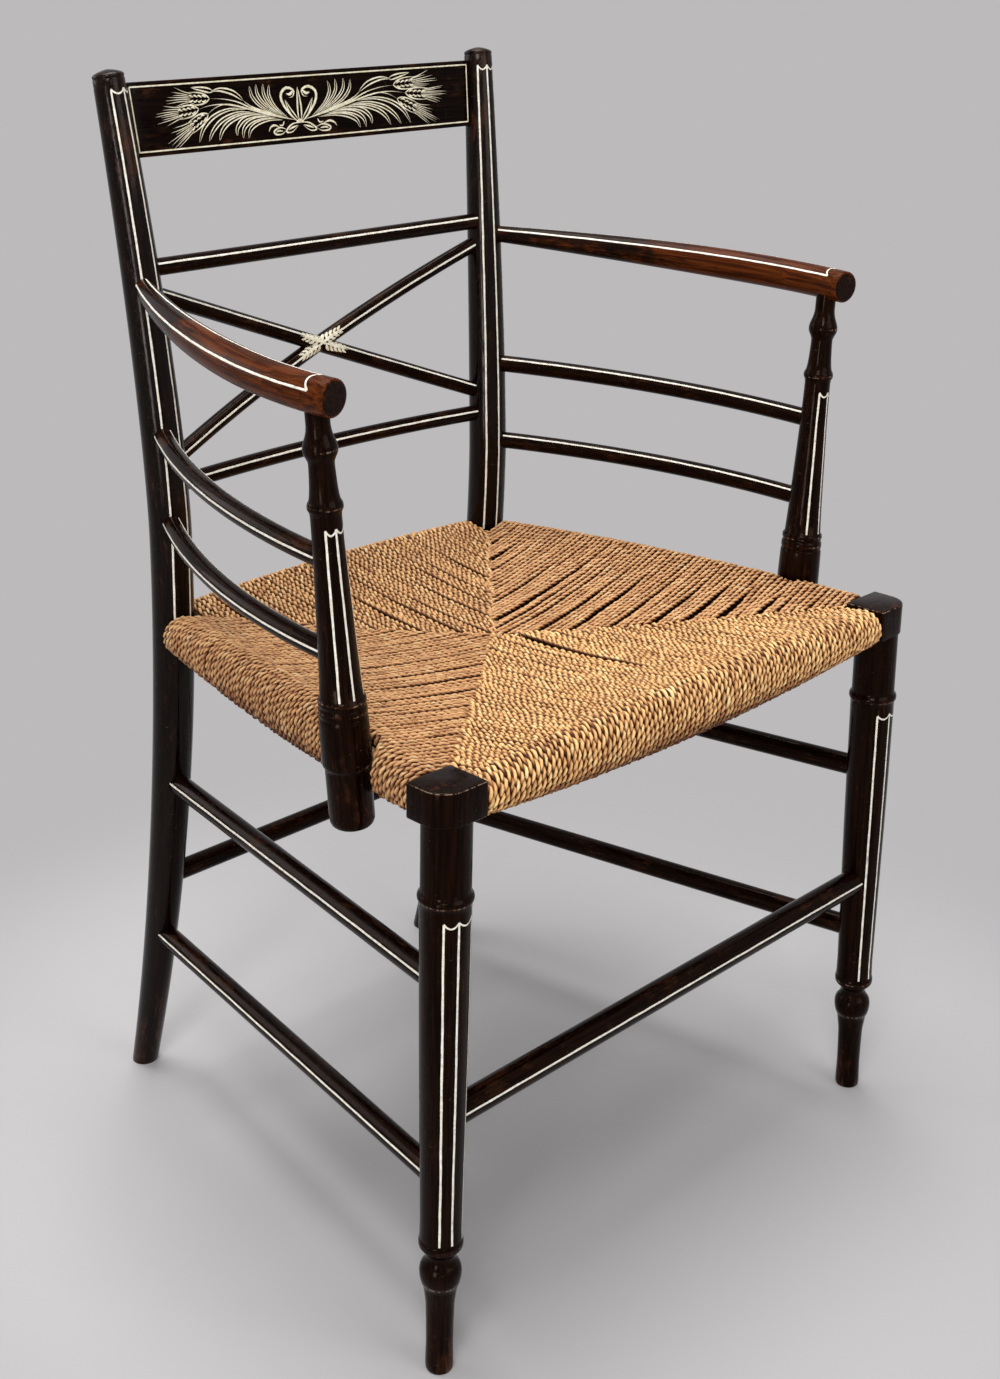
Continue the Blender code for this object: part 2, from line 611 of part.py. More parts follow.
def rush_mesh():
    """A flat cube cut into cells, shaped in plan by the rails and in height by the padding."""
    front, rear = RAIL_ENDS["right"]
    slope = (front.x - rear.x) / (rear.y - front.y)
    side_reach = RUSH_OVERHANG / math.cos(math.atan(slope))
    front_y = front.y - RUSH_OVERHANG
    rear_y = rear.y + RUSH_OVERHANG
    shape = bmesh.new()
    bmesh.ops.create_cube(shape, size=2.0)
    level = [edge for edge in shape.edges if edge.verts[0].co.z == edge.verts[1].co.z]
    bmesh.ops.subdivide_edges(shape, edges=level, cuts=RUSH_CELLS - 1, use_grid_fill=True)
    for vert in shape.verts:
        u, v, top = vert.co.x, vert.co.y, vert.co.z > 0
        y = front_y + (rear_y - front_y) * (v + 1) / 2
        half_width = front.x - slope * (y - front.y) + side_reach
        inward = 1 - max(abs(u), abs(v)) ** 2
        corner = (u * v) ** 2
        if top:
            z = SEAT_Z + RUSH_ABOVE_RAIL - RUSH_DISH * inward - RUSH_CORNER_DROP * corner
        else:
            z = SEAT_Z - RUSH_BELOW_RAIL + RUSH_BELLY * inward + RUSH_CORNER_LIFT * corner
        vert.co = (u * half_width, y, z)
    bmesh.ops.recalc_face_normals(shape, faces=shape.faces)
    mesh = bpy.data.meshes.new("rush_seat")
    shape.to_mesh(mesh)
    shape.free()
    return mesh


rush = piece("rush_seat", rush_mesh(), RUSH_TAN, 0.85)
roll = rush.modifiers.new("rolled_edges", "BEVEL")
roll.limit_method = "ANGLE"
roll.angle_limit = math.radians(50)
roll.width = RUSH_ROLL
roll.segments = 4
rush.modifiers.new("flat_faces", "TRIANGULATE")

# The corners are left open for posts and blocks, then come the supports' pockets and the rails' tunnels
notch = Vector((4 * POST_SEAT_R, 4 * POST_SEAT_R, 4 * RUSH_ABOVE_RAIL))
for word, side in SIDES:
    post, leg = post_at(side, SEAT_Z), leg_at(side, SEAT_Z)
    post_notch = cutter(f"{word}_post_notch", box_mesh(f"{word}_post_notch", notch))
    inside = POST_SEAT_R + RUSH_POST_GAP
    post_notch.location = post + Vector((side * (notch.x / 2 - inside), notch.y / 2 - inside, 0.0))
    block_notch = cutter(f"{word}_block_notch", box_mesh(f"{word}_block_notch", notch))
    block_notch.location = leg + Vector((
        side * (notch.x / 2 - BLOCK_WIDTH / 2 - CLEARANCE), BLOCK_DEPTH / 2 + CLEARANCE - notch.y / 2, 0.0))
    pocket_ends = [support_at(side, SEAT_Z - notch.z / 2), support_at(side, SEAT_Z + notch.z / 2)]
    pocket_r = SUPPORT_BASE_R + 2 * CLEARANCE
    pocket = cutter(f"{word}_support_pocket", tube_mesh(
        f"{word}_support_pocket", pocket_ends, [pocket_r] * 2, DRILL_SIDES))
    for tool in (post_notch, block_notch, pocket):
        boolean(rush, tool)
for word, ends in RAIL_ENDS.items():
    name = f"{word}_rail_tunnel"
    boolean(rush, cutter(name, tube_mesh(name, ends, [RAIL_R + CLEARANCE] * 2, DRILL_SIDES)))
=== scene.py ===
import math
import random

import bpy
from mathutils import Matrix, Vector
from mathutils.noise import noise


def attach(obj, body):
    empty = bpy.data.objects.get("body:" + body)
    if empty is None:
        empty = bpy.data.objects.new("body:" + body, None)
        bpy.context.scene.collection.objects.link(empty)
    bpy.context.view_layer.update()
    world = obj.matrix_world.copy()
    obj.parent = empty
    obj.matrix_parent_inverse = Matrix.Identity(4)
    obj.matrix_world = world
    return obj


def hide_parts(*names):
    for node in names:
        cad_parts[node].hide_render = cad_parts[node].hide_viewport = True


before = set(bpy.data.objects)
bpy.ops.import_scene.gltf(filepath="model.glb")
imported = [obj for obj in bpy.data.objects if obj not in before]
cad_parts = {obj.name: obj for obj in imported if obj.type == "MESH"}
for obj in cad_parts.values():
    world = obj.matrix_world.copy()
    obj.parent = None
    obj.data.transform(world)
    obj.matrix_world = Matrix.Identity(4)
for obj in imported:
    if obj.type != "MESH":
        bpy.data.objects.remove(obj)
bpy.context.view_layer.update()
scene = bpy.context.scene
scene.view_settings.view_transform = "Standard"
print("frame loaded:", len(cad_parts), "nodes")

upward = Vector((0.0, 0.0, 1.0))
backward = Vector((0.0, 1.0, 0.0))
rightward = Vector((1.0, 0.0, 0.0))
sides = (("left", -1), ("right", 1))


def clamp(value):
    return max(0.0, min(1.0, value))


def deselectAll():
    if bpy.context.object and bpy.context.object.mode != "OBJECT":
        bpy.ops.object.mode_set(mode="OBJECT")
    bpy.ops.object.select_all(action="DESELECT")


# shader nodes
def feed(node, inputs):
    # each input takes another node's output, a colour or a plain value
    for socket, value in inputs.items():
        taker = node.inputs[socket]
        if isinstance(value, bpy.types.NodeSocket):
            node.id_data.links.new(value, taker)
        elif taker.type == "RGBA":
            taker.default_value = (*value, 1.0)
        else:
            taker.default_value = value


def addNode(tree, kind, inputs, **settings):
    node = tree.nodes.new("ShaderNode" + kind)
    for name, value in settings.items():
        setattr(node, name, value)
    feed(node, inputs)
    return node


def addNoise(vector, scale, detail, rough=0.55, lengthwise=None):
    # lengthwise: how closely the pattern is packed along the third coordinate
    tree = vector.id_data
    if lengthwise:
        packed = {"Vector": vector, "Scale": (1.0, 1.0, lengthwise)}
        vector = addNode(tree, "Mapping", packed).outputs["Vector"]
    values = {"Vector": vector, "Scale": scale, "Detail": detail, "Roughness": rough}
    return addNode(tree, "TexNoise", values).outputs["Fac"]


def addRange(value, low, high, outLow=0.0, outHigh=1.0):
    values = {"Value": value, "From Min": low, "From Max": high, "To Min": outLow, "To Max": outHigh}
    return addNode(value.id_data, "MapRange", values, interpolation_type="SMOOTHSTEP").outputs["Result"]


def addMath(kind, a, b):
    return addNode(a.id_data, "Math", {0: a, 1: b}, operation=kind).outputs["Value"]


def addMix(share, a, b):
    return addNode(share.id_data, "Mix", {"Factor": share, 6: a, 7: b}, data_type="RGBA").outputs[2]


def addBump(height, strength, distance):
    values = {"Height": height, "Strength": strength, "Distance": distance}
    return addNode(height.id_data, "Bump", values).outputs["Normal"]


def objectPlace(tree):
    return addNode(tree, "TexCoord", {}).outputs["Object"]


def readNote(tree, name):
    return addNode(tree, "Attribute", {}, attribute_name=name).outputs


def startFinish(name):
    finish = bpy.data.materials.new(name)
    finish.use_nodes = True
    tree = finish.node_tree
    return finish, tree, tree.nodes["Principled BSDF"]


# studio: floor, sky, lamps and the photograph's camera
studio = {
    "floorSize": 160.0,
    "floorColor": (0.525, 0.514, 0.520),
    "floorRough": 0.9,
    "floorSpecular": 0.1,
    "fade": (0.32, 0.68),
    "skyColor": (0.503, 0.491, 0.497),
    "skyStrength": 0.34,
    "lamps": (
        # name, place, aim, width and height, watts
        ("keyLamp", (-1.9, -1.5, 2.6), (0.0, 0.0, 0.4), (1.0, 1.0), 46.0),
        ("windowLamp", (-2.35, -0.85, 0.55), (0.0, 0.0, 0.5), (0.4, 1.0), 13.0),
        ("fillLamp", (0.35, -2.9, 1.9), (0.0, 0.0, 0.4), (1.8, 1.8), 28.0),
        ("topLamp", (0.1, 0.4, 3.0), (0.0, 0.0, 0.4), (1.8, 1.8), 72.0),
        ("rimLamp", (-1.2, 2.5, 1.5), (0.0, 0.0, 0.5), (1.4, 1.4), 14.0),
    ),
}
photoCamera = {
    "place": (-0.9813, -0.9797, 0.9367),
    "yaw": 43.82,
    "pitch": 17.5,
    "sensor": 36.0,
    "lens": 49.53,
    "shift": (0.0508, -0.1193),
    "farthest": 200.0,
}


def backdropRays(tree):
    # 1 for the rays that show the backdrop: straight, mirrored or through glass
    path = addNode(tree, "LightPath", {}).outputs
    shown = addMath("MAXIMUM", path["Is Camera Ray"], path["Is Glossy Ray"])
    return addMath("MAXIMUM", shown, path["Is Transmission Ray"])


def showInstead(tree, share, usual, shown, end):
    # one shader where the share is 0 and another where it is 1
    mix = addNode(tree, "MixShader", {"Fac": share, 1: usual, 2: shown})
    feed(tree.nodes[end], {"Surface": mix.outputs["Shader"]})


def layFloor(s):
    deselectAll()
    bpy.ops.mesh.primitive_plane_add(size=s["floorSize"])
    floor = bpy.context.object
    floor.name = "studioFloor"
    paint, tree, shader = startFinish("studioFloor")
    feed(shader, {
        "Base Color": s["floorColor"],
        "Roughness": s["floorRough"],
        "Specular IOR Level": s["floorSpecular"],
    })
    far = addNode(tree, "VectorMath", {0: objectPlace(tree)}, operation="LENGTH").outputs["Value"]
    faded = addMath("MULTIPLY", addRange(far, *s["fade"]), backdropRays(tree))
    plain = addNode(tree, "Emission", {"Color": s["skyColor"]})  # the backdrop's tone, away from the shadow
    showInstead(tree, faded, shader.outputs["BSDF"], plain.outputs["Emission"], "Material Output")
    floor.data.materials.append(paint)


def hangSky(s):
    world = bpy.data.worlds.new("studioSky")
    scene.world = world
    world.use_nodes = True
    tree = world.node_tree
    sky = tree.nodes["Background"]
    feed(sky, {"Color": s["skyColor"], "Strength": s["skyStrength"]})
    seen = addNode(tree, "Background", {"Color": s["skyColor"]})  # what is seen beyond the floor
    showInstead(tree, backdropRays(tree), sky.outputs[0], seen.outputs[0], "World Output")


def hangLamps(s):
    for name, place, aim, size, watts in s["lamps"]:
        bpy.ops.object.light_add(type="AREA", location=place)
        lamp = bpy.context.object
        lamp.name = name
        lamp.data.shape = "RECTANGLE"
        lamp.data.size, lamp.data.size_y = size
        lamp.data.energy = watts
        lamp.rotation_euler = (Vector(aim) - Vector(place)).to_track_quat("-Z", "Y").to_euler()


def setUpCamera(c):
    bpy.ops.object.camera_add(location=c["place"])
    camera = bpy.context.object
    camera.name = "photoCamera"
    camera.rotation_euler = (math.pi / 2 - math.radians(c["pitch"]), 0.0, -math.radians(c["yaw"]))
    camera.data.sensor_fit = "VERTICAL"
    camera.data.sensor_height = c["sensor"]
    camera.data.lens = c["lens"]
    camera.data.shift_x, camera.data.shift_y = c["shift"]
    camera.data.clip_end = c["farthest"]
    scene.camera = camera


layFloor(studio)
hangSky(studio)
hangLamps(studio)
setUpCamera(photoCamera)
print("studio and camera set")


# node groups that the wood finishes share; a noise is given as scale, detail, roughness and packing
def newGroup(name, inputs, outputs):
    group = bpy.data.node_groups.new(name, "ShaderNodeTree")
    for way, sockets in (("INPUT", inputs), ("OUTPUT", outputs)):
        for label, kind in sockets.items():
            group.interface.new_socket(label, in_out=way, socket_type="NodeSocket" + kind)
    return group, group.nodes.new("NodeGroupInput").outputs, group.nodes.new("NodeGroupOutput")


def placeGroup(tree, group, **values):
    return addNode(tree, "Group", values, node_tree=group).outputs


beechGrain = {
    "streaks": (420.0, 4.0, 0.6, 0.045), "pores": (1500.0, 2.0, 0.5, 0.12), "poreEdge": (0.60, 0.72),
}
rubbedWear = {
    "patches": (85.0, 6.0, 0.62, 0.4), "fine": (520.0, 3.0, 0.6, 0.25), "nicks": (240.0, 2.0, 0.5, 3.2),
    # how much each part counts, the level that stays whole, and where wear and scratches set in
    "patchShare": 0.7, "fineShare": 0.3, "rubShare": 0.30, "amountShare": 0.1, "whole": 0.57,
    "wornEdge": (0.0, 0.16), "scratchEdge": (0.70, 0.76),
}


def buildGrainGroup(g):
    # long streaks and pores of turned beech, on the piece's own lengthwise coordinates
    group, given, out = newGroup("beechGrain", {"Lay": "Vector"}, {"Streaks": "Float", "Height": "Float"})
    streaks = addNoise(given["Lay"], *g["streaks"])
    pores = addRange(addNoise(given["Lay"], *g["pores"]), *g["poreEdge"])
    feed(out, {"Streaks": streaks, "Height": addMath("SUBTRACT", streaks, pores)})
    return group


def buildWearGroup(w):
    # rubbed places: strong where the piece says it is handled, patchy elsewhere, with a few short scratches
    group, given, out = newGroup(
        "rubbedWear", {"Lay": "Vector", "Rub": "Float", "Amount": "Float"},
        {"Mask": "Float", "Scratches": "Float"})
    patches, fine, nicks = (addNoise(given["Lay"], *w[part]) for part in ("patches", "fine", "nicks"))
    level = addMath("SUBTRACT", addMath("MULTIPLY", patches, w["patchShare"]), w["whole"])
    for part, share in ((fine, "fineShare"), (given["Rub"], "rubShare"), (given["Amount"], "amountShare")):
        level = addMath("ADD", level, addMath("MULTIPLY", part, w[share]))
    feed(out, {"Mask": addRange(level, *w["wornEdge"]), "Scratches": addRange(nicks, *w["scratchEdge"])})
    return group


grainGroup = buildGrainGroup(beechGrain)
wearGroup = buildWearGroup(rubbedWear)


def woodFinish(name, w):
    finish, tree, shader = startFinish(name)
    lay = readNote(tree, "lay")["Vector"]
    rub = readNote(tree, "rub")["Fac"]
    grain = placeGroup(tree, grainGroup, Lay=lay)
    wear = placeGroup(tree, wearGroup, Lay=lay, Rub=rub, Amount=w["wear"])
    streaks, worn = grain["Streaks"], wear["Mask"]
    tint = addRange(streaks, *w["tintEdge"])
    color = addMix(tint, w["dark"], w["warm"])
    color = addMix(worn, color, addMix(tint, w["wornDark"], w["wornLight"]))
    sharp = addRange(addMath("MULTIPLY", rub, addRange(streaks, *w["streakEdge"])), *w["sharpEdge"])
    color = addMix(addMath("MULTIPLY", sharp, w["edgeShare"]), color, w["edge"])
    color = addMix(addMath("MULTIPLY", wear["Scratches"], w["scratchShare"]), color, w["scratch"])
    rough = addMath("MULTIPLY", worn, w["wornRough"])
    sunk = addMath("MULTIPLY", worn, w["wornDepth"])
    feed(shader, {
        "Base Color": color,
        "Roughness": addMath("ADD", addRange(streaks, *w["glossEdge"], *w["gloss"]), rough),
        "Normal": addBump(addMath("SUBTRACT", grain["Height"], sunk), *w["bump"]),
        "Specular IOR Level": w["specular"],
        "Specular Tint": w["sheen"],
    })
    return finish


ebonised = {
    "dark": (0.0024, 0.0008, 0.0004), "warm": (0.0088, 0.0026, 0.0011), "tintEdge": (0.38, 0.64),
    "wornDark": (0.017, 0.0056, 0.0026), "wornLight": (0.042, 0.0140, 0.006), "wear": -0.25,
    "edge": (0.26, 0.20, 0.15), "edgeShare": 0.65, "streakEdge": (0.3, 0.6), "sharpEdge": (0.5, 0.8),
    "scratch": (0.10, 0.07, 0.045), "scratchShare": 0.35,
    "glossEdge": (0.3, 0.7), "gloss": (0.07, 0.18), "wornRough": 0.12, "wornDepth": 0.6,
    "bump": (0.35, 0.0002), "specular": 0.07, "sheen": (1.0, 0.72, 0.58),
}
blackPost = dict(
    ebonised, dark=(0.0019, 0.0008, 0.0005), warm=(0.0060, 0.0021, 0.0011), specular=0.15,
    sheen=(1.0, 0.90, 0.85))
blackCrest = dict(blackPost, specular=0.04)
rubbedArm = dict(
    ebonised, dark=(0.0050, 0.0023, 0.0016), warm=(0.015, 0.0054, 0.0030), wornDark=(0.032, 0.0068, 0.0019),
    wornLight=(0.102, 0.0235, 0.0046), edgeShare=0.0, wear=0.25, gloss=(0.14, 0.26), wornRough=0.05)
bareRail = dict(
    ebonised, dark=(0.20, 0.115, 0.055), warm=(0.30, 0.18, 0.09), wornDark=(0.24, 0.14, 0.07),
    wornLight=(0.36, 0.23, 0.12), gloss=(0.5, 0.7), wornRough=0.05)
ebonisedFinish = woodFinish("ebonisedBeech", ebonised)
blackPostFinish = woodFinish("blackenedBeech", blackPost)
blackCrestFinish = woodFinish("blackCrestBeech", blackCrest)
rubbedArmFinish = woodFinish("rubbedArmBeech", rubbedArm)
bareRailFinish = woodFinish("bareBeech", bareRail)


def paintFinish(name, p):
    # ivory paint, thin in places, with nicks down to the black ground
    finish, tree, shader = startFinish(name)
    place = objectPlace(tree)
    thin = addRange(addNoise(place, *p["thin"]), *p["thinEdge"])
    nicks = addRange(addNoise(place, *p["nick"]), p["nickLevel"], p["nickLevel"] + p["nickSoft"])
    worn = addRange(addNoise(place, *p["worn"]), p["wornLevel"], p["wornLevel"] + p["wornSoft"])
    gone = addMath("MAXIMUM", nicks, addMath("MULTIPLY", worn, thin))
    feed(shader, {
        "Base Color": addMix(gone, addMix(thin, p["thinColor"], p["color"]), p["ground"]),
        "Roughness": addRange(thin, 0.0, 1.0, *p["gloss"]),
        "Normal": addBump(addMath("SUBTRACT", thin, gone), *p["bump"]),
    })
    return finish


ivoryLine = {
    "color": (0.90, 0.87, 0.78), "thinColor": (0.72, 0.66, 0.54), "ground": (0.030, 0.017, 0.011),
    "thin": (330.0, 4.0, 0.6), "thinEdge": (0.36, 0.62), "nick": (900.0, 3.0, 0.6), "nickLevel": 0.655,
    "nickSoft": 0.05, "worn": (38.0, 3.0), "wornLevel": 0.66, "wornSoft": 0.12, "gloss": (0.38, 0.52),
    "bump": (0.25, 0.0001),
}
ornamentPaint = dict(
    ivoryLine, color=(0.88, 0.83, 0.66), thinColor=(0.66, 0.58, 0.38), nickLevel=0.66, wornLevel=0.68)
ivoryLineFinish = paintFinish("ivoryLine", ivoryLine)
ornamentFinish = paintFinish("ornamentPaint", ornamentPaint)


def rushFinish(name, r):
    finish, tree, shader = startFinish(name)
    lay = readNote(tree, "lay")["Vector"]
    raised = readNote(tree, "rub")["Fac"]  # 1 on the crown of a cord, 0 in the grooves
    fibres, flecks = addNoise(lay, *r["fibres"]), addNoise(lay, *r["flecks"])
    blotch = addNoise(objectPlace(tree), *r["blotch"])
    mixed = addMath("MULTIPLY", flecks, 1 - r["fibreShare"])
    mixed = addMath("ADD", addMath("MULTIPLY", fibres, r["fibreShare"]), mixed)
    color = addMix(addRange(mixed, *r["strawEdge"]), r["shade"], r["straw"])
    color = addMix(addRange(mixed, *r["goldEdge"]), color, r["gold"])
    color = addMix(addRange(blotch, *r["brownEdge"]), color, r["brown"])
    # painted highlight on the crown of each cord, then painted shade in the grooves between cords, both set
    # by the cord's height
    color = addMix(addRange(raised, *r["crownHighlightEdge"]), color, r["crownHighlight"])
    feed(shader, {
        "Base Color": addMix(addRange(raised, *r["grooveShadeEdge"]), r["deep"], color),
        "Roughness": addRange(fibres, *r["glossEdge"], *r["gloss"]),
        "Normal": addBump(fibres, *r["bump"]),
        "Specular IOR Level": r["specular"],
    })
    return finish


# crownHighlight is a painted highlight and deep a painted shade; the other colours are the rush's own, varied
# by noise
rushColors = {
    "shade": (0.34, 0.122, 0.038), "straw": (0.79, 0.430, 0.165), "gold": (1.0, 0.80, 0.420),
    "brown": (0.36, 0.165, 0.070), "deep": (0.090, 0.022, 0.005), "crownHighlight": (0.97, 0.65, 0.290),
}
rushStraw = {
    **rushColors, "fibres": (1300.0, 4.0, 0.62, 0.06), "flecks": (210.0, 3.0, 0.6, 0.30), "fibreShare": 0.45,
    "blotch": (26.0, 4.0, 0.6), "strawEdge": (0.38, 0.54), "goldEdge": (0.52, 0.66), "grooveShadeEdge": (0.08, 0.74),
    "brownEdge": (0.48, 0.76, 0.0, 0.6), "crownHighlightEdge": (0.50, 0.95, 0.0, 0.45), "bump": (0.6, 0.0006),
    "glossEdge": (0.3, 0.7), "gloss": (0.34, 0.54), "specular": 0.22,
}
# painted light and shade: lit and shaded copies of the cord colour, one for each panel
rushPanelShading = {
    "rushFrontPanel": (1.07, 1.07, 1.07), "rushRearPanel": (0.86, 0.83, 0.85),
    "rushLeftPanel": (0.73, 0.67, 0.70), "rushRightPanel": (0.81, 0.76, 0.83),
}
rushCordFinishes = {}
for name, tone in rushPanelShading.items():
    shadedStraw = dict(rushStraw)
    for part, color in rushColors.items():
        shadedStraw[part] = tuple(min(1.0, value * share) for value, share in zip(color, tone))
    rushCordFinishes[name] = rushFinish(f"{name}Cord", shadedStraw)
# painted shade: the stuffing is coloured near black, as the shade inside the seat between the cords
rushStuffing = dict(
    rushStraw, shade=(0.020, 0.010, 0.005), straw=(0.040, 0.020, 0.009), gold=(0.06, 0.03, 0.013),
    brown=(0.02, 0.010, 0.005), crownHighlight=(0.04, 0.02, 0.009), deep=(0.016, 0.0065, 0.0028), gloss=(0.75, 0.9),
    specular=0.03)
shadowedStuffingFinish = rushFinish("rushStuffing", rushStuffing)


def steelFinish(name, s):
    finish, tree, shader = startFinish(name)
    tarnish = addNoise(objectPlace(tree), *s["noise"])
    feed(shader, {
        "Base Color": addMix(addRange(tarnish, *s["tarnishEdge"]), s["color"], s["tarnish"]),
        "Roughness": addRange(tarnish, *s["glossEdge"], *s["gloss"]),
        "Metallic": 1.0,
    })
    return finish


dullSteel = {
    "color": (0.42, 0.41, 0.39), "tarnish": (0.12, 0.10, 0.085), "noise": (700.0, 4.0),
    "tarnishEdge": (0.4, 0.65), "glossEdge": (0.3, 0.7), "gloss": (0.35, 0.6),
}
screwFinish = steelFinish("dullSteel", dullSteel)
print("finishes mixed")

# the chair's measures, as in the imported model
chair = {
    "height": 0.840, "seat": 0.4165, "arm": 0.6696, "frontHalf": 0.2412, "frontY": -0.2175, "legLean": 0.0143,
    # back post: upright through its bend, then the offsets of its foot and of its top
    "bend": 0.5, "rim": 0.834, "postHalf": 0.1719, "postY": 0.1487, "footIn": 0.0043, "footBack": 0.0765,
    "footCurve": 1.85, "topOut": 0.0151, "topBack": 0.0306, "topCurve": 1.45,
    "footRadius": 0.0108, "bendRadius": 0.0162, "topRadius": 0.0117, "thinCurve": 1.5,
    # arm support: behind the leg, outside the rail, and leaning
    "supportY": 0.083, "supportOut": 0.0221, "supportLean": 0.02, "supportBack": 0.0023,
    # a rod's mesh stops this far from the axis of the piece that it enters
    "rodEnd": 0.004,
}
seat = chair["seat"]


def postAt(side, z):
    if z < chair["bend"]:
        share = (chair["bend"] - z) / chair["bend"]
        x = chair["postHalf"] - chair["footIn"] * share
        y = chair["postY"] + chair["footBack"] * share ** chair["footCurve"]
    else:
        share = ((z - chair["bend"]) / (chair["rim"] - chair["bend"])) ** chair["topCurve"]
        x = chair["postHalf"] + chair["topOut"] * share
        y = chair["postY"] + chair["topBack"] * share
    return Vector((side * x, y, z))


def postRadius(z):
    if z < chair["bend"]:
        swell = math.sin(math.pi / 2 * clamp(z / seat))
        return chair["footRadius"] + (chair["bendRadius"] - chair["footRadius"]) * swell
    thin = ((z - chair["bend"]) / (chair["rim"] - chair["bend"])) ** chair["thinCurve"]
    return chair["bendRadius"] - (chair["bendRadius"] - chair["topRadius"]) * thin


def legAt(side, z):
    return Vector((side * (chair["frontHalf"] - chair["legLean"] * z), chair["frontY"], z))


def supportAt(side, z):
    leg, post = legAt(1, seat), postAt(1, seat)
    along = (post - leg).normalized()
    share = (z - seat) / (chair["arm"] - seat)
    x = leg.x + (along.x * chair["supportY"] + chair["supportOut"]) / along.y + chair["supportLean"] * share
    return Vector((side * x, chair["frontY"] + chair["supportY"] + chair["supportBack"] * share, z))


def axisPath(axisAt, side, low, high, count):
    return [axisAt(side, low + (high - low) * i / (count - 1)) for i in range(count)]


def straight(start, end, count):
    inset = (end - start).normalized() * chair["rodEnd"]
    return [(start + inset).lerp(end - inset, i / (count - 1)) for i in range(count)]


def bezier(a, b, c, d, count):
    path = []
    for i in range(count):
        t = i / (count - 1)
        path.append(a * (1 - t) ** 3 + b * 3 * t * (1 - t) ** 2 + c * 3 * t * t * (1 - t) + d * t ** 3)
    return path


def bowed(start, end, bow, count):
    third, lift = (end - start) / 3, bow * 4 / 3
    path = bezier(start, start + third + lift, end - third + lift, end, count)
    path[0] = start + (path[1] - start).normalized() * chair["rodEnd"]
    path[-1] = end + (path[-2] - end).normalized() * chair["rodEnd"]
    return path


# modelling helpers
def settle(obj, name, finish, replaced):
    obj.name = name
    obj.data.name = name
    obj.data.materials.clear()
    obj.data.materials.append(finish)
    if replaced:
        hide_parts(*replaced)
    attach(obj, "root")


def nodeName(name):
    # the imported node's name for a piece's name
    return "".join("_" + letter.lower() if letter.isupper() else letter for letter in name)


def smooth(obj, angle=38.0):
    deselectAll()
    obj.select_set(True)
    bpy.context.view_layer.objects.active = obj
    bpy.ops.object.shade_smooth_by_angle(angle=math.radians(angle))


def editAll():
    bpy.ops.object.mode_set(mode="EDIT")
    bpy.ops.mesh.select_all(action="SELECT")


def endEdit():
    bpy.ops.object.mode_set(mode="OBJECT")


def subdivideAll(cuts):
    editAll()
    bpy.ops.mesh.subdivide(number_cuts=cuts)
    endEdit()


def emptyMesh():
    deselectAll()
    bpy.ops.mesh.primitive_plane_add(size=0.01)
    editAll()
    bpy.ops.mesh.delete(type="VERT")
    endEdit()
    return bpy.context.object


def addBox(size, middle):
    deselectAll()
    bpy.ops.mesh.primitive_cube_add(size=1.0, location=middle)
    box = bpy.context.object
    box.scale = size
    bpy.ops.object.transform_apply(location=True, rotation=False, scale=True)
    return box


def easeEdges(obj, width):
    ease = obj.modifiers.new("ease", "BEVEL")
    ease.width = width
    ease.segments = 3
    ease.limit_method = "ANGLE"
    ease.angle_limit = math.radians(40)
    bpy.ops.object.modifier_apply(modifier="ease")


def drawTube(splines, resolution, capped=True):
    # round tubes along one or more paths, each point with its own radius
    deselectAll()
    bpy.ops.curve.primitive_bezier_curve_add()
    curve = bpy.context.object.data
    curve.splines.clear()
    curve.dimensions = "3D"
    curve.bevel_depth = 1.0
    curve.bevel_resolution = resolution
    curve.use_fill_caps = capped
    for path, radii in splines:
        spline = curve.splines.new("POLY")
        spline.points.add(len(path) - 1)
        spline.points.foreach_set("co", [value for p in path for value in (*p, 1.0)])
        spline.points.foreach_set("radius", radii)
    bpy.ops.object.convert(target="MESH")
    return bpy.context.object


def walked(path):
    # the distance walked at each point of a path
    reach = [0.0]
    for a, b in zip(path, path[1:]):
        reach.append(reach[-1] + (b - a).length)
    return reach


def ahead(path, i):
    # the way a path runs at one of its points
    return path[min(i + 1, len(path) - 1)] - path[max(i - 1, 0)]


# rub: the rubbed share of a wooden piece; on the rush, the cord's height, which sets its painted highlight
# and shade
def keepNotes(data, layValues, rubValues):
    data.attributes.new("lay", "FLOAT_VECTOR", "POINT")
    data.attributes.new("rub", "FLOAT", "POINT")
    data.attributes["lay"].data.foreach_set("vector", layValues)
    data.attributes["rub"].data.foreach_set("value", rubValues)


def noteLay(obj, path, rubAt, seed):
    # lengthwise coordinates for grain and a share of rubbing, kept on the mesh
    along = path[-1] - path[0]
    turn = along.rotation_difference(upward)
    reach = walked(path)
    last = len(path) - 1
    layValues, rubValues = [], []
    for v in obj.data.vertices:
        flat = (v.co - path[0]).dot(along) / along.length_squared
        near = min(last, max(0, round(flat * last)))
        choices = range(max(0, near - 3), min(last, near + 3) + 1)
        best = min(choices, key=lambda k: (path[k] - v.co).length_squared)
        off = turn @ (v.co - path[best])
        layValues += [off.x + seed, off.y - seed, reach[best] + off.z + seed * 3]
        rubValues.append(rubAt(v.co, reach[best] / reach[-1]))
    keepNotes(obj.data, layValues, rubValues)


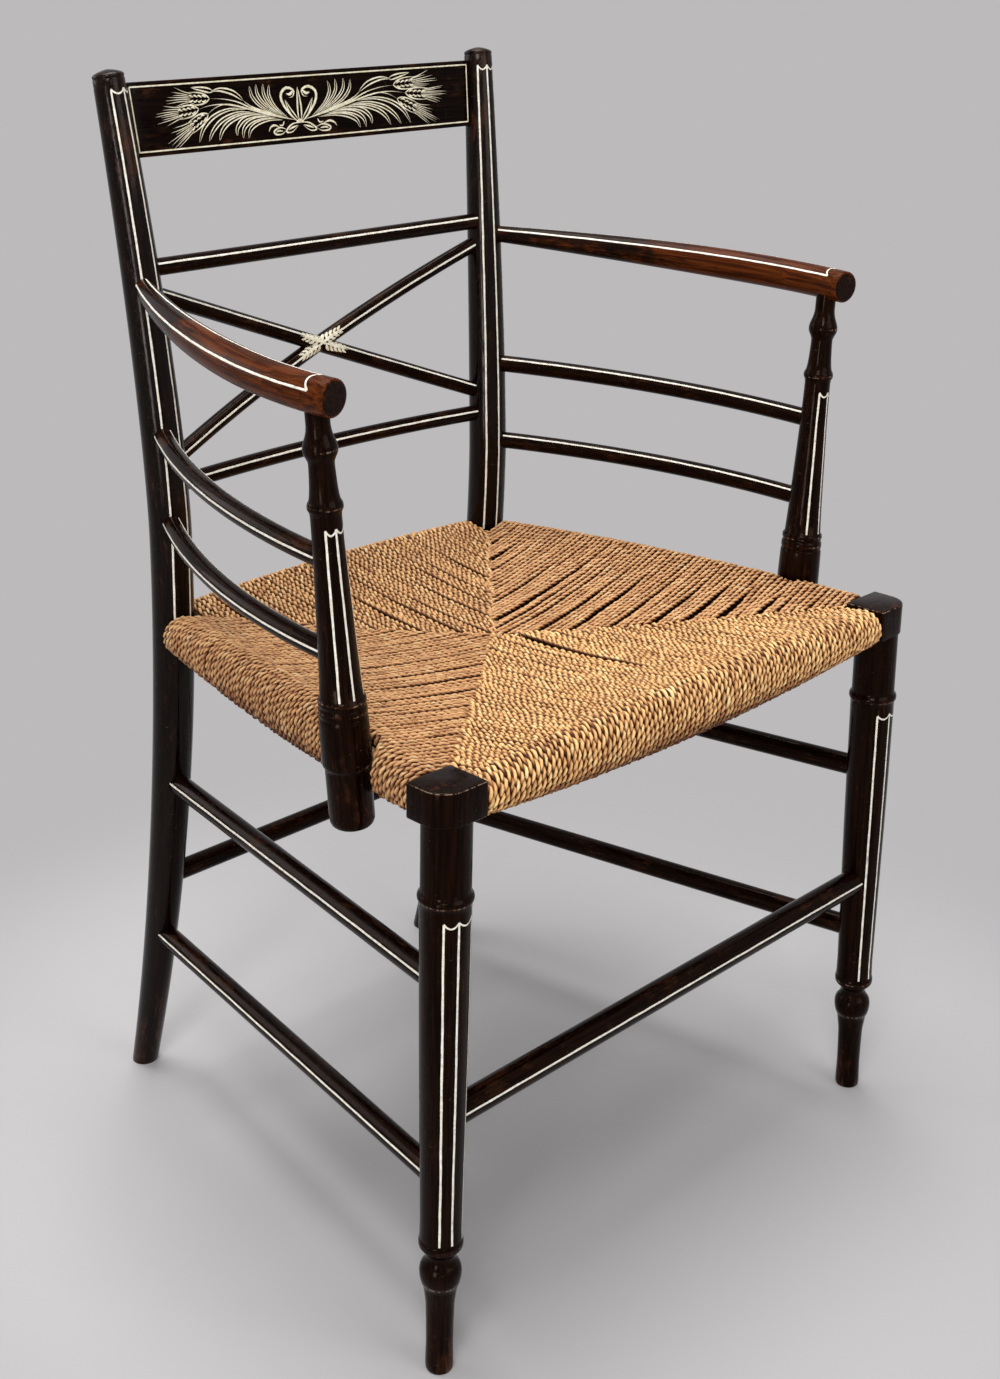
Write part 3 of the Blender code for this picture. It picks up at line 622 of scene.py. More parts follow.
# back posts
backPost = {
    "points": 96, "capStart": 0.0075, "level": (0.0015, 0.004), "resolution": 14,
    # the cap's rise over the rim and its share of the top's radius
    "cap": ((-0.0060, 1.0), (-0.0013, 1.0), (-0.0006, 0.972), (0.0001, 0.972), (0.0007, 1.0), (0.0015, 1.0),
            (0.0022, 0.98), (0.0028, 0.93), (0.0035, 0.83), (0.0043, 0.67), (0.0050, 0.48), (0.0056, 0.26),
            (0.0060, 0.02)),
    "rub": 0.12, "footRub": 0.4, "footFade": 6, "capRub": 0.3, "capFade": 30,
}
postPaths = {}


def postRub(co, t):
    foot, cap = max(0.0, 1 - t * backPost["footFade"]), max(0.0, 1 - (1 - t) * backPost["capFade"])
    return backPost["rub"] + backPost["footRub"] * foot + backPost["capRub"] * cap


for word, side in sides:
    path = axisPath(postAt, side, 0.0, chair["rim"] - backPost["capStart"], backPost["points"])
    radii = [postRadius(p.z) for p in path]
    for rise, share in backPost["cap"]:
        path.append(postAt(side, chair["rim"] + rise))
        radii.append(chair["topRadius"] * share)
    postPaths[word] = (path, radii)
    post = drawTube([(path, radii)], backPost["resolution"])
    flat, low = backPost["level"]
    for v in post.data.vertices:  # the foot is cut level
        if v.co.z < low:
            v.co.z = v.co.z if v.co.z > flat else 0.0
    noteLay(post, path, postRub, side * 0.31)
    smooth(post)
    settle(post, f"{word}BackPost", blackPostFinish, [f"{word}_back_post"])
print("posts drawn")


# front legs and arm supports: lathe-turned, with heights and radii in tenths of a millimetre
frontLeg = {
    "profile": (
        (4260, 165), (3625, 165), (3605, 168), (3596, 176), (3584, 182), (3570, 184), (3556, 182),
        (3545, 176), (3536, 172), (3500, 169), (3200, 166.5), (2890, 165), (2400, 160), (2000, 154),
        (1550, 147), (1200, 143), (1090, 144), (1062, 146), (1050, 144.5), (1042, 149), (1032, 151.5),
        (1015, 152), (998, 151.5), (986, 147), (972, 137), (958, 123), (940, 108), (922, 101.5), (905, 100),
        (888, 103.5), (873, 110), (857, 121), (840, 132), (820, 140), (795, 144), (770, 144), (735, 140),
        (700, 131), (691, 122), (655, 116), (610, 109), (565, 103), (520, 99), (380, 95), (220, 93),
        (80, 96), (25, 96), (8, 93), (0, 88)),
    "low": 0.0, "high": 0.435, "rub": 0.12, "ringRub": 0.8, "footRub": 0.5, "footFade": 25,
    # rubbed rings and the block's upper edge: height and how narrow
    "rings": ((0.3560, 0.0009), (0.1010, 0.0009), (0.0702, 0.0009), (0.4344, 0.0004)),
}
cornerBlock = {
    "size": (0.039, 0.034, 0.0245), "middle": 0.42275, "round": 0.0175, "roundSteps": 10, "ease": 0.0014,
}
armSupport = {
    "profile": (
        (6670, 77), (6500, 77), (6470, 80), (6440, 87), (6415, 96), (6390, 105), (6370, 110), (6352, 111.5),
        (6335, 110), (6318, 105), (6303, 97), (6288, 90.5), (6275, 85), (6262, 83), (6230, 83), (6180, 85),
        (6110, 89), (6060, 94), (6030, 99), (6018, 104), (6008, 110), (5995, 114), (5982, 115.5),
        (5970, 114), (5958, 108), (5948, 103), (5920, 100), (5760, 102), (5600, 106), (5300, 117),
        (5000, 128), (4850, 135), (4712, 142), (4704, 148), (4695, 155), (4680, 158), (4665, 157),
        (4653, 151.5), (4646, 151), (4638, 155), (4625, 159), (4605, 160), (4590, 159), (4581, 155.5),
        (4574, 155), (4564, 160), (4540, 162), (4400, 164.5), (4260, 166), (4235, 165), (4222, 157),
        (4212, 152), (4190, 151), (3850, 150), (3825, 148), (3806, 141), (3795, 130), (3790, 115)),
    "low": 0.379, "high": 0.667, "rub": 0.12, "ringRub": 0.8, "footRub": 0.35, "footFade": 30,
    "rings": tuple((z, 0.0008) for z in (0.6352, 0.5982, 0.4680, 0.4608, 0.4240)),
}
lathe = {"unit": 10000, "steps": 48, "weld": 0.00002, "axisPoints": 41}


def turned(piece):
    return [(z / lathe["unit"], r / lathe["unit"]) for z, r in piece["profile"]]


def turnOnLathe(piece, axisAt, side):
    # a profile spun round a vertical axis, then leaned onto the piece's own axis
    profile = turned(piece)
    rim = [(profile[0][0], 0.0), *profile, (profile[-1][0], 0.0)]
    obj = emptyMesh()
    obj.data.from_pydata([(r, 0.0, z) for z, r in rim], [(i, i + 1) for i in range(len(rim) - 1)], [])
    turn = obj.modifiers.new("turn", "SCREW")
    turn.axis = "Z"
    turn.angle = 2 * math.pi
    turn.steps = lathe["steps"]
    turn.render_steps = lathe["steps"]
    bpy.ops.object.modifier_apply(modifier="turn")
    editAll()
    bpy.ops.mesh.remove_doubles(threshold=lathe["weld"])
    bpy.ops.mesh.normals_make_consistent(inside=False)
    endEdit()
    foot, head = axisAt(side, 0.0), axisAt(side, 1.0)
    lean = upward.rotation_difference(head - foot)
    for v in obj.data.vertices:
        v.co = foot + lean @ Vector((v.co.x, v.co.y, v.co.z * (head - foot).length))
        v.co.z = max(0.0, v.co.z)  # a foot stands flat on the floor
    return obj


def cutBlock(b, middle, side):
    # a square block with its outer front corner rounded
    block = addBox(b["size"], middle)
    bpy.ops.object.mode_set(mode="EDIT")
    bpy.ops.mesh.select_mode(type="EDGE")
    bpy.ops.mesh.select_all(action="DESELECT")
    endEdit()
    for edge in block.data.edges:
        ends = [block.data.vertices[i].co - middle for i in edge.vertices]
        edge.select = all(e.x * side > 0 > e.y for e in ends)
    bpy.ops.object.mode_set(mode="EDIT")
    bpy.ops.mesh.bevel(offset=b["round"], segments=b["roundSteps"], profile=0.5)
    endEdit()
    easeEdges(block, b["ease"])
    subdivideAll(2)
    return block


def finishTurned(obj, name, piece, axisAt, side, seed):
    def rubAt(co, t):
        ring = max(math.exp(-((co.z - z) / narrow) ** 2) for z, narrow in piece["rings"])
        foot = max(0.0, 1 - (co.z - piece["low"]) * piece["footFade"])
        return piece["rub"] + piece["ringRub"] * ring + piece["footRub"] * foot

    noteLay(obj, axisPath(axisAt, side, piece["low"], piece["high"], lathe["axisPoints"]), rubAt, side * seed)
    smooth(obj)
    settle(obj, name, ebonisedFinish, [nodeName(name)])


for word, side in sides:
    leg = turnOnLathe(frontLeg, legAt, side)
    block = cutBlock(cornerBlock, legAt(side, cornerBlock["middle"]), side)
    deselectAll()
    block.select_set(True)
    leg.select_set(True)
    bpy.context.view_layer.objects.active = leg
    bpy.ops.object.join()
    finishTurned(leg, f"{word}FrontLeg", frontLeg, legAt, side, 0.17)
    support = turnOnLathe(armSupport, supportAt, side)
    finishTurned(support, f"{word}ArmSupport", armSupport, supportAt, side, 0.23)
print("legs and supports turned")


# rods: stretchers, spindles and the back
stretchers = {
    # heights at the back and at the front
    "radius": 0.0085, "points": 24, "upper": (0.2866, 0.2924), "lower": (0.1399, 0.1479),
    "front": 0.1949, "frontRadius": 0.0099, "rear": 0.1941, "rearRadius": 0.0082, "acrossPoints": 30,
}
spindles = {"radius": 0.0071, "points": 40, "bow": 0.02, "upper": (0.1595, 0.1458), "lower": (0.0919, 0.0815)}
backRods = {
    "railRadius": 0.0066, "crossRadius": 0.0063, "upper": 0.6975, "lower": 0.533, "lowerBow": 0.014,
    "crossBow": 0.018, "gap": 0.0153, "points": 48,
}
rodWear = {"rub": 0.10, "patches": 0.25, "pace": 7, "resolution": 10}
rods = {}


def addRod(name, path, radius, seed):
    def rubAt(co, t):
        return rodWear["rub"] + rodWear["patches"] * abs(math.sin(seed * 9 + t * rodWear["pace"]))

    radii = [radius] * len(path)
    rod = drawTube([(path, radii)], rodWear["resolution"])
    noteLay(rod, path, rubAt, seed)
    smooth(rod)
    settle(rod, name, ebonisedFinish, [nodeName(name)])
    rods[name] = (path, radii)


for word, side in sides:
    for level in ("upper", "lower"):
        rear, front = stretchers[level]
        path = straight(postAt(side, rear), legAt(side, front), stretchers["points"])
        addRod(f"{word}{level.title()}Stretcher", path, stretchers["radius"], side * 0.4 + rear)
        rear, front = spindles[level]
        bow = rightward * side * spindles["bow"]
        ends = postAt(side, seat + rear), supportAt(side, seat + front)
        path = bowed(*ends, bow, spindles["points"])
        addRod(f"{word}{level.title()}Spindle", path, spindles["radius"], side * 0.7 + rear)
for name, axisAt, height, radius, seed in (
        ("frontStretcher", legAt, stretchers["front"], stretchers["frontRadius"], 0.11),
        ("rearStretcher", postAt, stretchers["rear"], stretchers["rearRadius"], 0.57),
        ("upperBackRail", postAt, backRods["upper"], backRods["railRadius"], 0.83)):
    path = straight(axisAt(-1, height), axisAt(1, height), stretchers["acrossPoints"])
    addRod(name, path, radius, seed)
low, high = backRods["lower"] + backRods["gap"], backRods["upper"] - backRods["gap"]
for name, left, right, bow, radius, seed in (
        ("lowerBackRail", backRods["lower"], backRods["lower"], "lowerBow", "railRadius", 0.29),
        ("risingCrossRod", low, high, "crossBow", "crossRadius", 0.45),
        ("fallingCrossRod", high, low, "crossBow", "crossRadius", 0.64)):
    path = bowed(postAt(-1, left), postAt(1, right), backward * backRods[bow], backRods["points"])
    addRod(name, path, backRods[radius], seed)
print("rods drawn")


# arms
arm = {
    "rear": 0.687, "rearRadius": 0.0066, "frontRadius": 0.0123, "swell": 0.8, "nose": 0.0155, "rearPull": 0.1,
    "bend": (0.0193, 0.1177, 0.0048), "points": 64, "resolution": 14,
    # the rounded front end: steps forwards and the radius lost
    "nosing": ((0.0006, 0.0001), (0.0011, 0.0004), (0.0014, 0.0009), (0.00155, 0.0016), (0.0016, 0.0024),
               (0.0016, 0.0040)),
    "discEdge": 0.0012, "rub": 0.05, "bareRub": 1.15, "bareFrom": 0.30, "bareFade": 2.2,
}


def shapeArm(word, side):
    rear = postAt(side, arm["rear"])
    front = supportAt(side, chair["arm"]) - backward * arm["nose"]
    outX, backY, upZ = arm["bend"]
    bend = front + Vector((side * outX, backY, upZ))
    path = bezier(rear, rear.lerp(bend, arm["rearPull"]), bend, front, arm["points"])
    radii = []
    for i in range(arm["points"]):
        share = min(1.0, i / (arm["points"] - 1) / arm["swell"])
        grown = (arm["frontRadius"] - arm["rearRadius"]) * (3 - 2 * share) * share ** 2
        radii.append(arm["rearRadius"] + grown)
    nose = (path[-1] - path[-2]).normalized()
    for step, inset in arm["nosing"]:
        path.append(front + nose * step)
        radii.append(arm["frontRadius"] - inset)

    def rubAt(co, t):
        # bare in front, dark at the back and on the end disc
        if (co - path[-1]).length < arm["frontRadius"] - arm["discEdge"]:
            return 0.0
        return arm["rub"] + arm["bareRub"] * clamp((t - arm["bareFrom"]) * arm["bareFade"])

    rods[f"{word}Arm"] = (path, radii)
    rest = drawTube([(path, radii)], arm["resolution"])
    noteLay(rest, path, rubAt, side * 0.51)
    smooth(rest)
    settle(rest, f"{word}Arm", rubbedArmFinish, [f"{word}_arm"])


for word, side in sides:
    shapeArm(word, side)
print("arms drawn")


# crest rail
crest = {
    "height": 0.0538, "thick": 0.0095, "below": 0.0098, "setback": 0.004, "ease": 0.0013, "endGap": 0.012,
    "grainEnds": (-0.18, -0.09, 0.0, 0.09, 0.18), "rub": 0.18, "edgeRub": 0.5, "edgeFrom": 0.024,
    "edgeFade": 250,
}
crestZ = chair["height"] - crest["below"] - crest["height"] / 2
crestEnd = postAt(1, crestZ)
lowEnd, highEnd = postAt(1, crestZ - crest["height"] / 2), postAt(1, crestZ + crest["height"] / 2)
crestRake = math.atan2(highEnd.y - lowEnd.y, highEnd.z - lowEnd.z)
crestTilt = Matrix.Rotation(-crestRake, 3, "X")
crestMiddle = Vector((0.0, crestEnd.y, crestZ)) + crestTilt @ backward * crest["setback"]


def crestRub(co, t):
    edge = max(0.0, (abs(co.z - crestZ) - crest["edgeFrom"]) * crest["edgeFade"])
    return crest["rub"] + crest["edgeRub"] * edge


tablet = addBox((2 * crestEnd.x - crest["endGap"], crest["thick"], crest["height"]), (0.0, 0.0, 0.0))
easeEdges(tablet, crest["ease"])
subdivideAll(6)
for v in tablet.data.vertices:  # its ends lean out with the posts
    lean = (postAt(1, crestZ + v.co.z).x - crestEnd.x) * (v.co.x / crestEnd.x)
    v.co = crestMiddle + crestTilt @ Vector((v.co.x + lean, v.co.y, v.co.z))
noteLay(tablet, [Vector((x, crestEnd.y, crestZ)) for x in crest["grainEnds"]], crestRub, 0.37)
smooth(tablet)
settle(tablet, "crestRail", blackCrestFinish, ["crest_rail"])
print("crest shaped")


# rush seat: twisted cords from each rail to the mitre seams, over a stuffing coloured near black as painted
# shade inside the seat
rush = {
    "spacing": 0.0048, "jitter": 0.0004, "cordRadius": 0.0025, "strandRadius": 0.00130,
    "strandOffset": 0.00123, "strandSpread": (0.9, 1.08), "uneven": 0.22, "twist": 0.0118,
    "twistSpread": (0.88, 1.14), "slack": 1.9, "slackPace": 55, "aside": (0.31, 0.53, 0.17),
    "unevenPace": 0.21,
    "step": 0.0023, "underStep": 0.0031, "coarseStep": 0.006, "rollSteps": 16, "rollPower": 0.8,
    # the seat's form: over and under the rails, hollow on top and drawn up at the corners
    "overhang": 0.0185, "above": 0.0270, "below": 0.0235, "dish": 0.0240, "belly": 0.0060,
    "cornerDrop": 0.0085, "cornerLift": 0.0180, "shoulder": 0.004,
    # the seams meet in the centre and end at the inner corners; a cord's end tucks in and down there
    "centre": (0.0, -0.0275), "frontInner": (0.2168, -0.2005), "rearInner": (0.1570, 0.1340),
    "seamShares": (-0.12, 1.0001), "tuckIn": 0.003, "tuckDown": 0.0045,
    "supportReach": 0.0184, "supportGap": 0.0006, "supportTurn": 0.007,
    # how far a cord wanders sideways, slowly and quickly, and up and down, and at what pace
    "drift": 0.0016, "driftPace": 9.0, "shiver": 0.0009, "shiverPace": 30.0, "calm": 0.05,
    "ripple": 0.0008, "sag": 0.0012, "ripplePace": 22.0, "bulge": 0.0006,
    # how far the cords of a panel draw together into clumps, and where along the panel most
    "clumps": {"rushFrontPanel": (0.05, 0.5), "rushRearPanel": (0.12, 0.4), "rushLeftPanel": (0.22, 0.8),
               "rushRightPanel": (0.27, 0.35)},
    "clumpSizes": (2, 5), "clumpSpread": (0.15, 1.7), "clumpFall": 0.75, "pullFrom": 0.015, "pullShare": 0.6,
    "openGap": 0.014, "openPull": 0.0032, "openFade": 0.016, "dirt": 1.15,
    # half lengths of the front and rear panels, and what the side panels leave free at each end
    "frontHalf": 0.2130, "rearHalf": 0.1530, "sideFree": (0.0215, 0.0195),
}
frontRail, rearRail = legAt(1, seat), postAt(1, seat)
railSlope = (frontRail.x - rearRail.x) / (rearRail.y - frontRail.y)
sideReach = rush["overhang"] / math.cos(math.atan(railSlope))
rushFront, rushRear = frontRail.y - rush["overhang"], rearRail.y + rush["overhang"]


def halfWidth(y):
    return frontRail.x - railSlope * (y - frontRail.y) + sideReach


def seatShares(x, y):
    # how far in from the edge, and how near to a corner
    u = max(-1.0, min(1.0, x / halfWidth(y)))
    v = max(-1.0, min(1.0, 2 * (y - rushFront) / (rushRear - rushFront) - 1))
    return 1 - max(abs(u), abs(v)) ** 2, (u * v) ** 2


def seatTop(x, y):
    inner, corner = seatShares(x, y)
    return seat + rush["above"] - rush["dish"] * inner - rush["cornerDrop"] * corner


def seatUnder(x, y):
    inner, corner = seatShares(x, y)
    return seat - rush["below"] + rush["belly"] * inner + rush["cornerLift"] * corner


def seamReach(base, inward):
    # how far a cord runs from its rail to the nearest mitre seam
    best = None
    least, most = rush["seamShares"]
    for mirrored in (-1, 1):
        for cornerX, cornerY in (rush["frontInner"], rush["rearInner"]):
            start = Vector((cornerX * mirrored, cornerY))
            seam = Vector(rush["centre"]) - start
            cross = inward.x * seam.y - inward.y * seam.x
            if abs(cross) < 1e-9:
                continue
            gap = start - base
            reach = (gap.x * seam.y - gap.y * seam.x) / cross
            share = (gap.x * inward.y - gap.y * inward.x) / cross
            if reach > 0 and least <= share <= most and (best is None or reach < best):
                best = reach
    return best


def evenSteps(path, step):
    # the same path with points a fixed step apart
    even = [path[0]]
    left = step
    for a, b in zip(path, path[1:]):
        gap = b - a
        length = gap.length
        at = left
        while at <= length:
            even.append(a + gap * (at / length))
            at += step
        left = at - length
    return even


def cordPaths(base, inward, seed, pull):
    # one cord: from the seam over the top, round the rail, and back under to the seam
    reach = seamReach(base, inward)
    if reach is None or reach < rush["coarseStep"]:
        return [], []
    across = Vector((-inward.y, inward.x))
    r = rush["cordRadius"]
    count = max(4, int(reach / rush["coarseStep"]))

    def sideways(q, part):
        drift = noise((seed * 0.31, q * rush["driftPace"], part)) * rush["drift"]
        drift += noise((seed * 1.7, q * rush["shiverPace"], part + 5)) * rush["shiver"]
        share = clamp((q - rush["pullFrom"]) / (rush["pullShare"] * reach))
        return drift * min(1.0, q / rush["calm"]) + pull * share * share * (3 - 2 * share)

    def topPoint(q):
        flat = base + inward * q + across * sideways(q, 0.3)
        rise = noise((seed * 2.3, q * rush["ripplePace"], 1.0)) * rush["ripple"]
        return Vector((*flat, seatTop(*flat) - r + rise))

    def underPoint(q):
        flat = base + inward * q + across * sideways(q, 7.3)
        sag = noise((seed * 2.9, q * rush["ripplePace"], 4.0)) * rush["sag"]
        return Vector((*flat, seatUnder(*flat) + r + sag))

    top = [topPoint(reach * (1 - i / count)) for i in range(count)]
    top.insert(0, top[0] + Vector((*(inward * rush["tuckIn"]), -rush["tuckDown"])))
    under = [underPoint(reach * i / count) for i in range(1, count + 1)]
    under.append(under[-1] + Vector((*(inward * rush["tuckIn"]), rush["tuckDown"])))
    outer = base - inward * rush["shoulder"]
    high, low = seatTop(*outer) - r, seatUnder(*outer) + r
    middle = (high + low) / 2
    swell = rush["overhang"] - r + noise((seed * 3.1, 0.0, 9.0)) * rush["bulge"]
    roll = []
    for i in range(rush["rollSteps"] + 1):
        turn = math.pi * i / rush["rollSteps"]
        flat = base - inward * swell * math.sin(turn) ** rush["rollPower"]
        roll.append(Vector((*flat, middle + (high - low) / 2 * math.cos(turn))))
    support = supportAt(1 if base.x > 0 else -1, seat)
    gap = support.xy - base
    aside = gap.dot(across)
    if abs(inward.x) < 0.5 or abs(aside) >= rush["supportReach"]:
        return evenSteps(top + roll, rush["step"]), evenSteps(roll[-1:] + under, rush["underStep"])
    # a cord that meets an arm support stops against it
    room = -gap.dot(inward) - math.sqrt(rush["supportReach"] ** 2 - aside ** 2) - rush["supportGap"]
    free = [p for p in roll if (base - p.xy).dot(inward) < room]
    upper = [p for p in free if p.z > middle]
    lower = [p for p in free if p.z <= middle]
    turnIn = upward * rush["supportTurn"]
    top = top + upper + [(upper or top)[-1] - turnIn]
    under = [(lower or under)[0] + turnIn] + lower + under
    return evenSteps(top, rush["step"]), evenSteps(under, rush["underStep"])


def twistStrands(path, phase, pitch):
    # two strands wound round the cord's path
    strands = ([], [])
    for i, (p, reach) in enumerate(zip(path, walked(path))):
        along = ahead(path, i).normalized()
        first = along.cross(Vector(rush["aside"])).normalized()
        second = along.cross(first)
        slack = rush["slack"] * noise((reach * rush["slackPace"], phase * 7, 0.4))
        for k, strand in enumerate(strands):
            turn = phase + k * math.pi + 2 * math.pi * reach / pitch + slack
            strand.append(p + (first * math.cos(turn) + second * math.sin(turn)) * rush["strandOffset"])
    return strands


def clumpPulls(name, count, chance):
    # the sideways pull of each cord of a panel towards the middle of its clump
    amount, peak = rush["clumps"][name]
    pulls = []
    while len(pulls) <= count:
        size = chance.randint(*rush["clumpSizes"])
        near = 1.0 - rush["clumpFall"] * abs(len(pulls) / count - peak)
        tight = amount * near * chance.uniform(*rush["clumpSpread"])
        pulls += [-(k - (size - 1) / 2) * tight * rush["spacing"] for k in range(size)]
    return pulls


def twistPanel(name, start, end, inward):
    # the strands of a panel's upper runs, with the roll over the rail, and of its runs underneath
    chance = random.Random(name)
    count = int((end - start).length / rush["spacing"])
    along = (end - start).normalized()
    across = Vector((-inward.y, inward.x))
    pulls = clumpPulls(name, count, chance)
    strands = {"": [], "Under": []}
    for i in range(count + 1):
        base = start.lerp(end, i / count) + along * chance.uniform(-rush["jitter"], rush["jitter"])
        pull = pulls[i] * along.dot(across)
        if name == "rushFrontPanel":  # one long gap just right of the middle
            off = base.x - rush["openGap"]
            pull += math.copysign(rush["openPull"] * math.exp(-abs(off) / rush["openFade"]), off) * across.x
        phase = chance.uniform(0, 6.28)
        pitch = rush["twist"] * chance.uniform(*rush["twistSpread"])
        for part, path in zip(strands, cordPaths(base, inward, i * 0.37 + len(name), pull)):
            if len(path) < 4:
                continue
            for strand in twistStrands(path, phase, pitch):
                size = rush["strandRadius"] * chance.uniform(*rush["strandSpread"])
                strands[part].append((path, strand, size))
    return strands


def weavePanel(name, part, strands, inward, resolution):
    runs = []
    for path, strand, size in strands:
        radii = []
        for i in range(len(strand)):
            swell = noise((i * rush["unevenPace"], size * 9e5, 2.0))
            radii.append(size * (1 + rush["uneven"] * swell))
        runs.append((strand, radii))
    panel = drawTube(runs, resolution, False)
    points = panel.data.vertices
    ring = len(points) // sum(len(strand) for path, strand, size in strands)
    step = rush["underStep"] if part else rush["step"]
    layValues, raisedValues = [], []
    for number, (path, strand, size) in enumerate(strands):
        for i, centre in enumerate(path):
            outward = Vector((-inward.y, inward.x, 0.0)).cross(ahead(path, i)).normalized()
            # painted shade: the cords darken towards the underside of the seat, where less light falls
            litShare = 1 - rush["dirt"] * clamp((seat - centre.z) / rush["below"])
            for k in range(ring):
                turn = 2 * math.pi * k / ring
                layValues += [size * math.cos(turn) + number * 0.013, size * math.sin(turn), i * step]
                rise = (points[len(raisedValues)].co - centre).dot(outward) / rush["cordRadius"]
                raisedValues.append(litShare * clamp(rise))
    keepNotes(panel.data, layValues, raisedValues)
    smooth(panel, 100.0)
    settle(panel, name + part, rushCordFinishes[name], [])
    print(panel.name, len(panel.data.polygons), "faces")


panels = {}
for name, rail, half, way in (("rushFrontPanel", frontRail, rush["frontHalf"], 1.0),
                              ("rushRearPanel", rearRail, rush["rearHalf"], -1.0)):
    panels[name] = (Vector((-half, rail.y)), Vector((half, rail.y)), Vector((0.0, way)))
railWay = (rearRail.xy - frontRail.xy).normalized()
freeFront, freeRear = rush["sideFree"]
railEnds = (frontRail.xy + railWay * freeFront, rearRail.xy - railWay * freeRear)
for word, side in sides:
    flat = [Vector((p.x * side, p.y)) for p in (*railEnds, Vector((-railWay.y, railWay.x)))]
    panels[f"rush{word.title()}Panel"] = tuple(flat)
for name, (start, end, inward) in panels.items():
    strands = twistPanel(name, start, end, inward)
    for part, resolution in (("", 1), ("Under", 0)):
        weavePanel(name, part, strands[part], inward, resolution)

stuffing = {
    "cells": 28, "inset": 0.0145, "drop": 0.0060, "cornerIn": 0.14, "cornerPower": 4, "rub": 0.15,
    "layEnds": (-0.2, 0.0, 0.2),
}
core = addBox((2.0, 2.0, 2.0), (0.0, 0.0, 0.0))
subdivideAll(stuffing["cells"])
for v in core.data.vertices:
    y = rushFront + stuffing["inset"] + (rushRear - rushFront - 2 * stuffing["inset"]) * (v.co.y + 1) / 2
    x = v.co.x * (halfWidth(y) - stuffing["inset"])
    corner = stuffing["cornerIn"] * (v.co.x * v.co.y) ** stuffing["cornerPower"]  # clear of posts and blocks
    x, y = x * (1 - corner), y - (y - rush["centre"][1]) * corner
    high, low = seatTop(x, y) - stuffing["drop"], seatUnder(x, y) + stuffing["drop"]
    v.co = (x, y, low + (high - low) * (v.co.z + 1) / 2)
noteLay(core, [Vector((0.0, y, seat)) for y in stuffing["layEnds"]], lambda co, t: stuffing["rub"], 0.1)
smooth(core)
settle(core, "rushStuffing", shadowedStuffingFinish, ["rush_seat"])
print("rush woven")

# painted decoration, as thin raised strokes on the turned and flat surfaces
lining = {
    "width": 0.00150, "lift": 0.00016, "edgeLift": 0.00004, "step": 0.004,
    "wave": 0.00022, "wavePace": 60, "uneven": 0.22, "unevenPace": 140,
    "scallop": 0.0036, "scallopRise": 0.0006, "scallopWidth": 0.82, "scallopPower": 0.8,
    "scallopSteps": 14, "margin": 0.004,
}


def tubeSurface(path, radii, zero):
    # places on a round piece: across in metres from the zero direction, along in metres from its start
    reach = walked(path)

    def spanAt(along):
        i = 1
        while i < len(path) - 1 and reach[i] < along:
            i += 1
        return i, clamp((along - reach[i - 1]) / max(1e-9, reach[i] - reach[i - 1]))

    def radiusAt(along):
        i, share = spanAt(along)
        return radii[i - 1] + (radii[i] - radii[i - 1]) * share

    def place(across, along, lift):
        i, share = spanAt(along)
        tangent = (path[min(len(path) - 1, i + 1)] - path[max(0, i - 2)]).normalized()
        first = (zero - tangent * zero.dot(tangent)).normalized()
        radius = radiusAt(along)
        turn = across / radius
        skin = first * math.cos(turn) + tangent.cross(first) * math.sin(turn)
        return path[i - 1].lerp(path[i], share) + skin * (radius + lift)

    return place, radiusAt, reach


def crestSurface(across, along, lift):
    # the tablet's front face: across to the right, along upwards from its middle
    return crestMiddle + crestTilt @ Vector((across, -crest["thick"] / 2 - lift, along))


def softCurve(points, count):
    # a smooth run through a few points
    run = []
    spans = len(points) - 1
    for i in range(count + 1):
        at = min(spans - 1e-6, spans * i / count)
        k = int(at)
        t = at - k
        a, b, c, d = (Vector(points[max(0, min(spans, k + j))]) for j in (-1, 0, 1, 2))
        bent = (2 * a - 5 * b + 4 * c - d) * t * t + (3 * b - a - 3 * c + d) * t ** 3
        run.append(tuple((2 * b + (c - a) * t + bent) / 2))
    return run


def sideStep(run, i):
    # one unit to the left of the way a run goes
    fore, aft = run[min(i + 1, len(run) - 1)], run[max(i - 1, 0)]
    dx, dy = fore[0] - aft[0], fore[1] - aft[1]
    size = math.hypot(dx, dy) or 1.0
    return -dy / size, dx / size


def ribbon(place, run, widths, verts, faces):
    # three rows of points along a run: two edges on the wood and a raised middle
    first = len(verts)
    for i, (across, along) in enumerate(run):
        nx, ny = (part * widths[i] / 2 for part in sideStep(run, i))
        verts.append(place(across + nx, along + ny, lining["edgeLift"]))
        verts.append(place(across, along, lining["lift"]))
        verts.append(place(across - nx, along - ny, lining["edgeLift"]))
    for i in range(len(run) - 1):
        k = first + 3 * i
        faces.append((k, k + 1, k + 4, k + 3))
        faces.append((k + 1, k + 2, k + 5, k + 4))


def paintPiece(name, strokes, finish):
    # strokes: surface, run, widths along it
    verts, faces = [], []
    for place, run, widths in strokes:
        ribbon(place, run, widths, verts, faces)
    obj = emptyMesh()
    obj.data.from_pydata(verts, [], faces)
    smooth(obj, 60.0)
    settle(obj, name, finish, [])
    print(name, len(faces), "faces")


def lineRun(across, low, high, seed):
    # a hand-drawn line along a piece
    count = max(4, int(abs(high - low) / lining["step"]))
    run, widths = [], []
    for i in range(count + 1):
        along = low + (high - low) * i / count
        wave = noise((along * lining["wavePace"], seed, 0.2)) * lining["wave"]
        uneven = lining["uneven"] * noise((along * lining["unevenPace"], seed, 3.1))
        run.append((across(along) + wave, along))
        widths.append(lining["width"] * (1 + uneven))
    return run, widths


def scallopDip(t):
    return math.sin(math.pi * t) ** lining["scallopPower"]


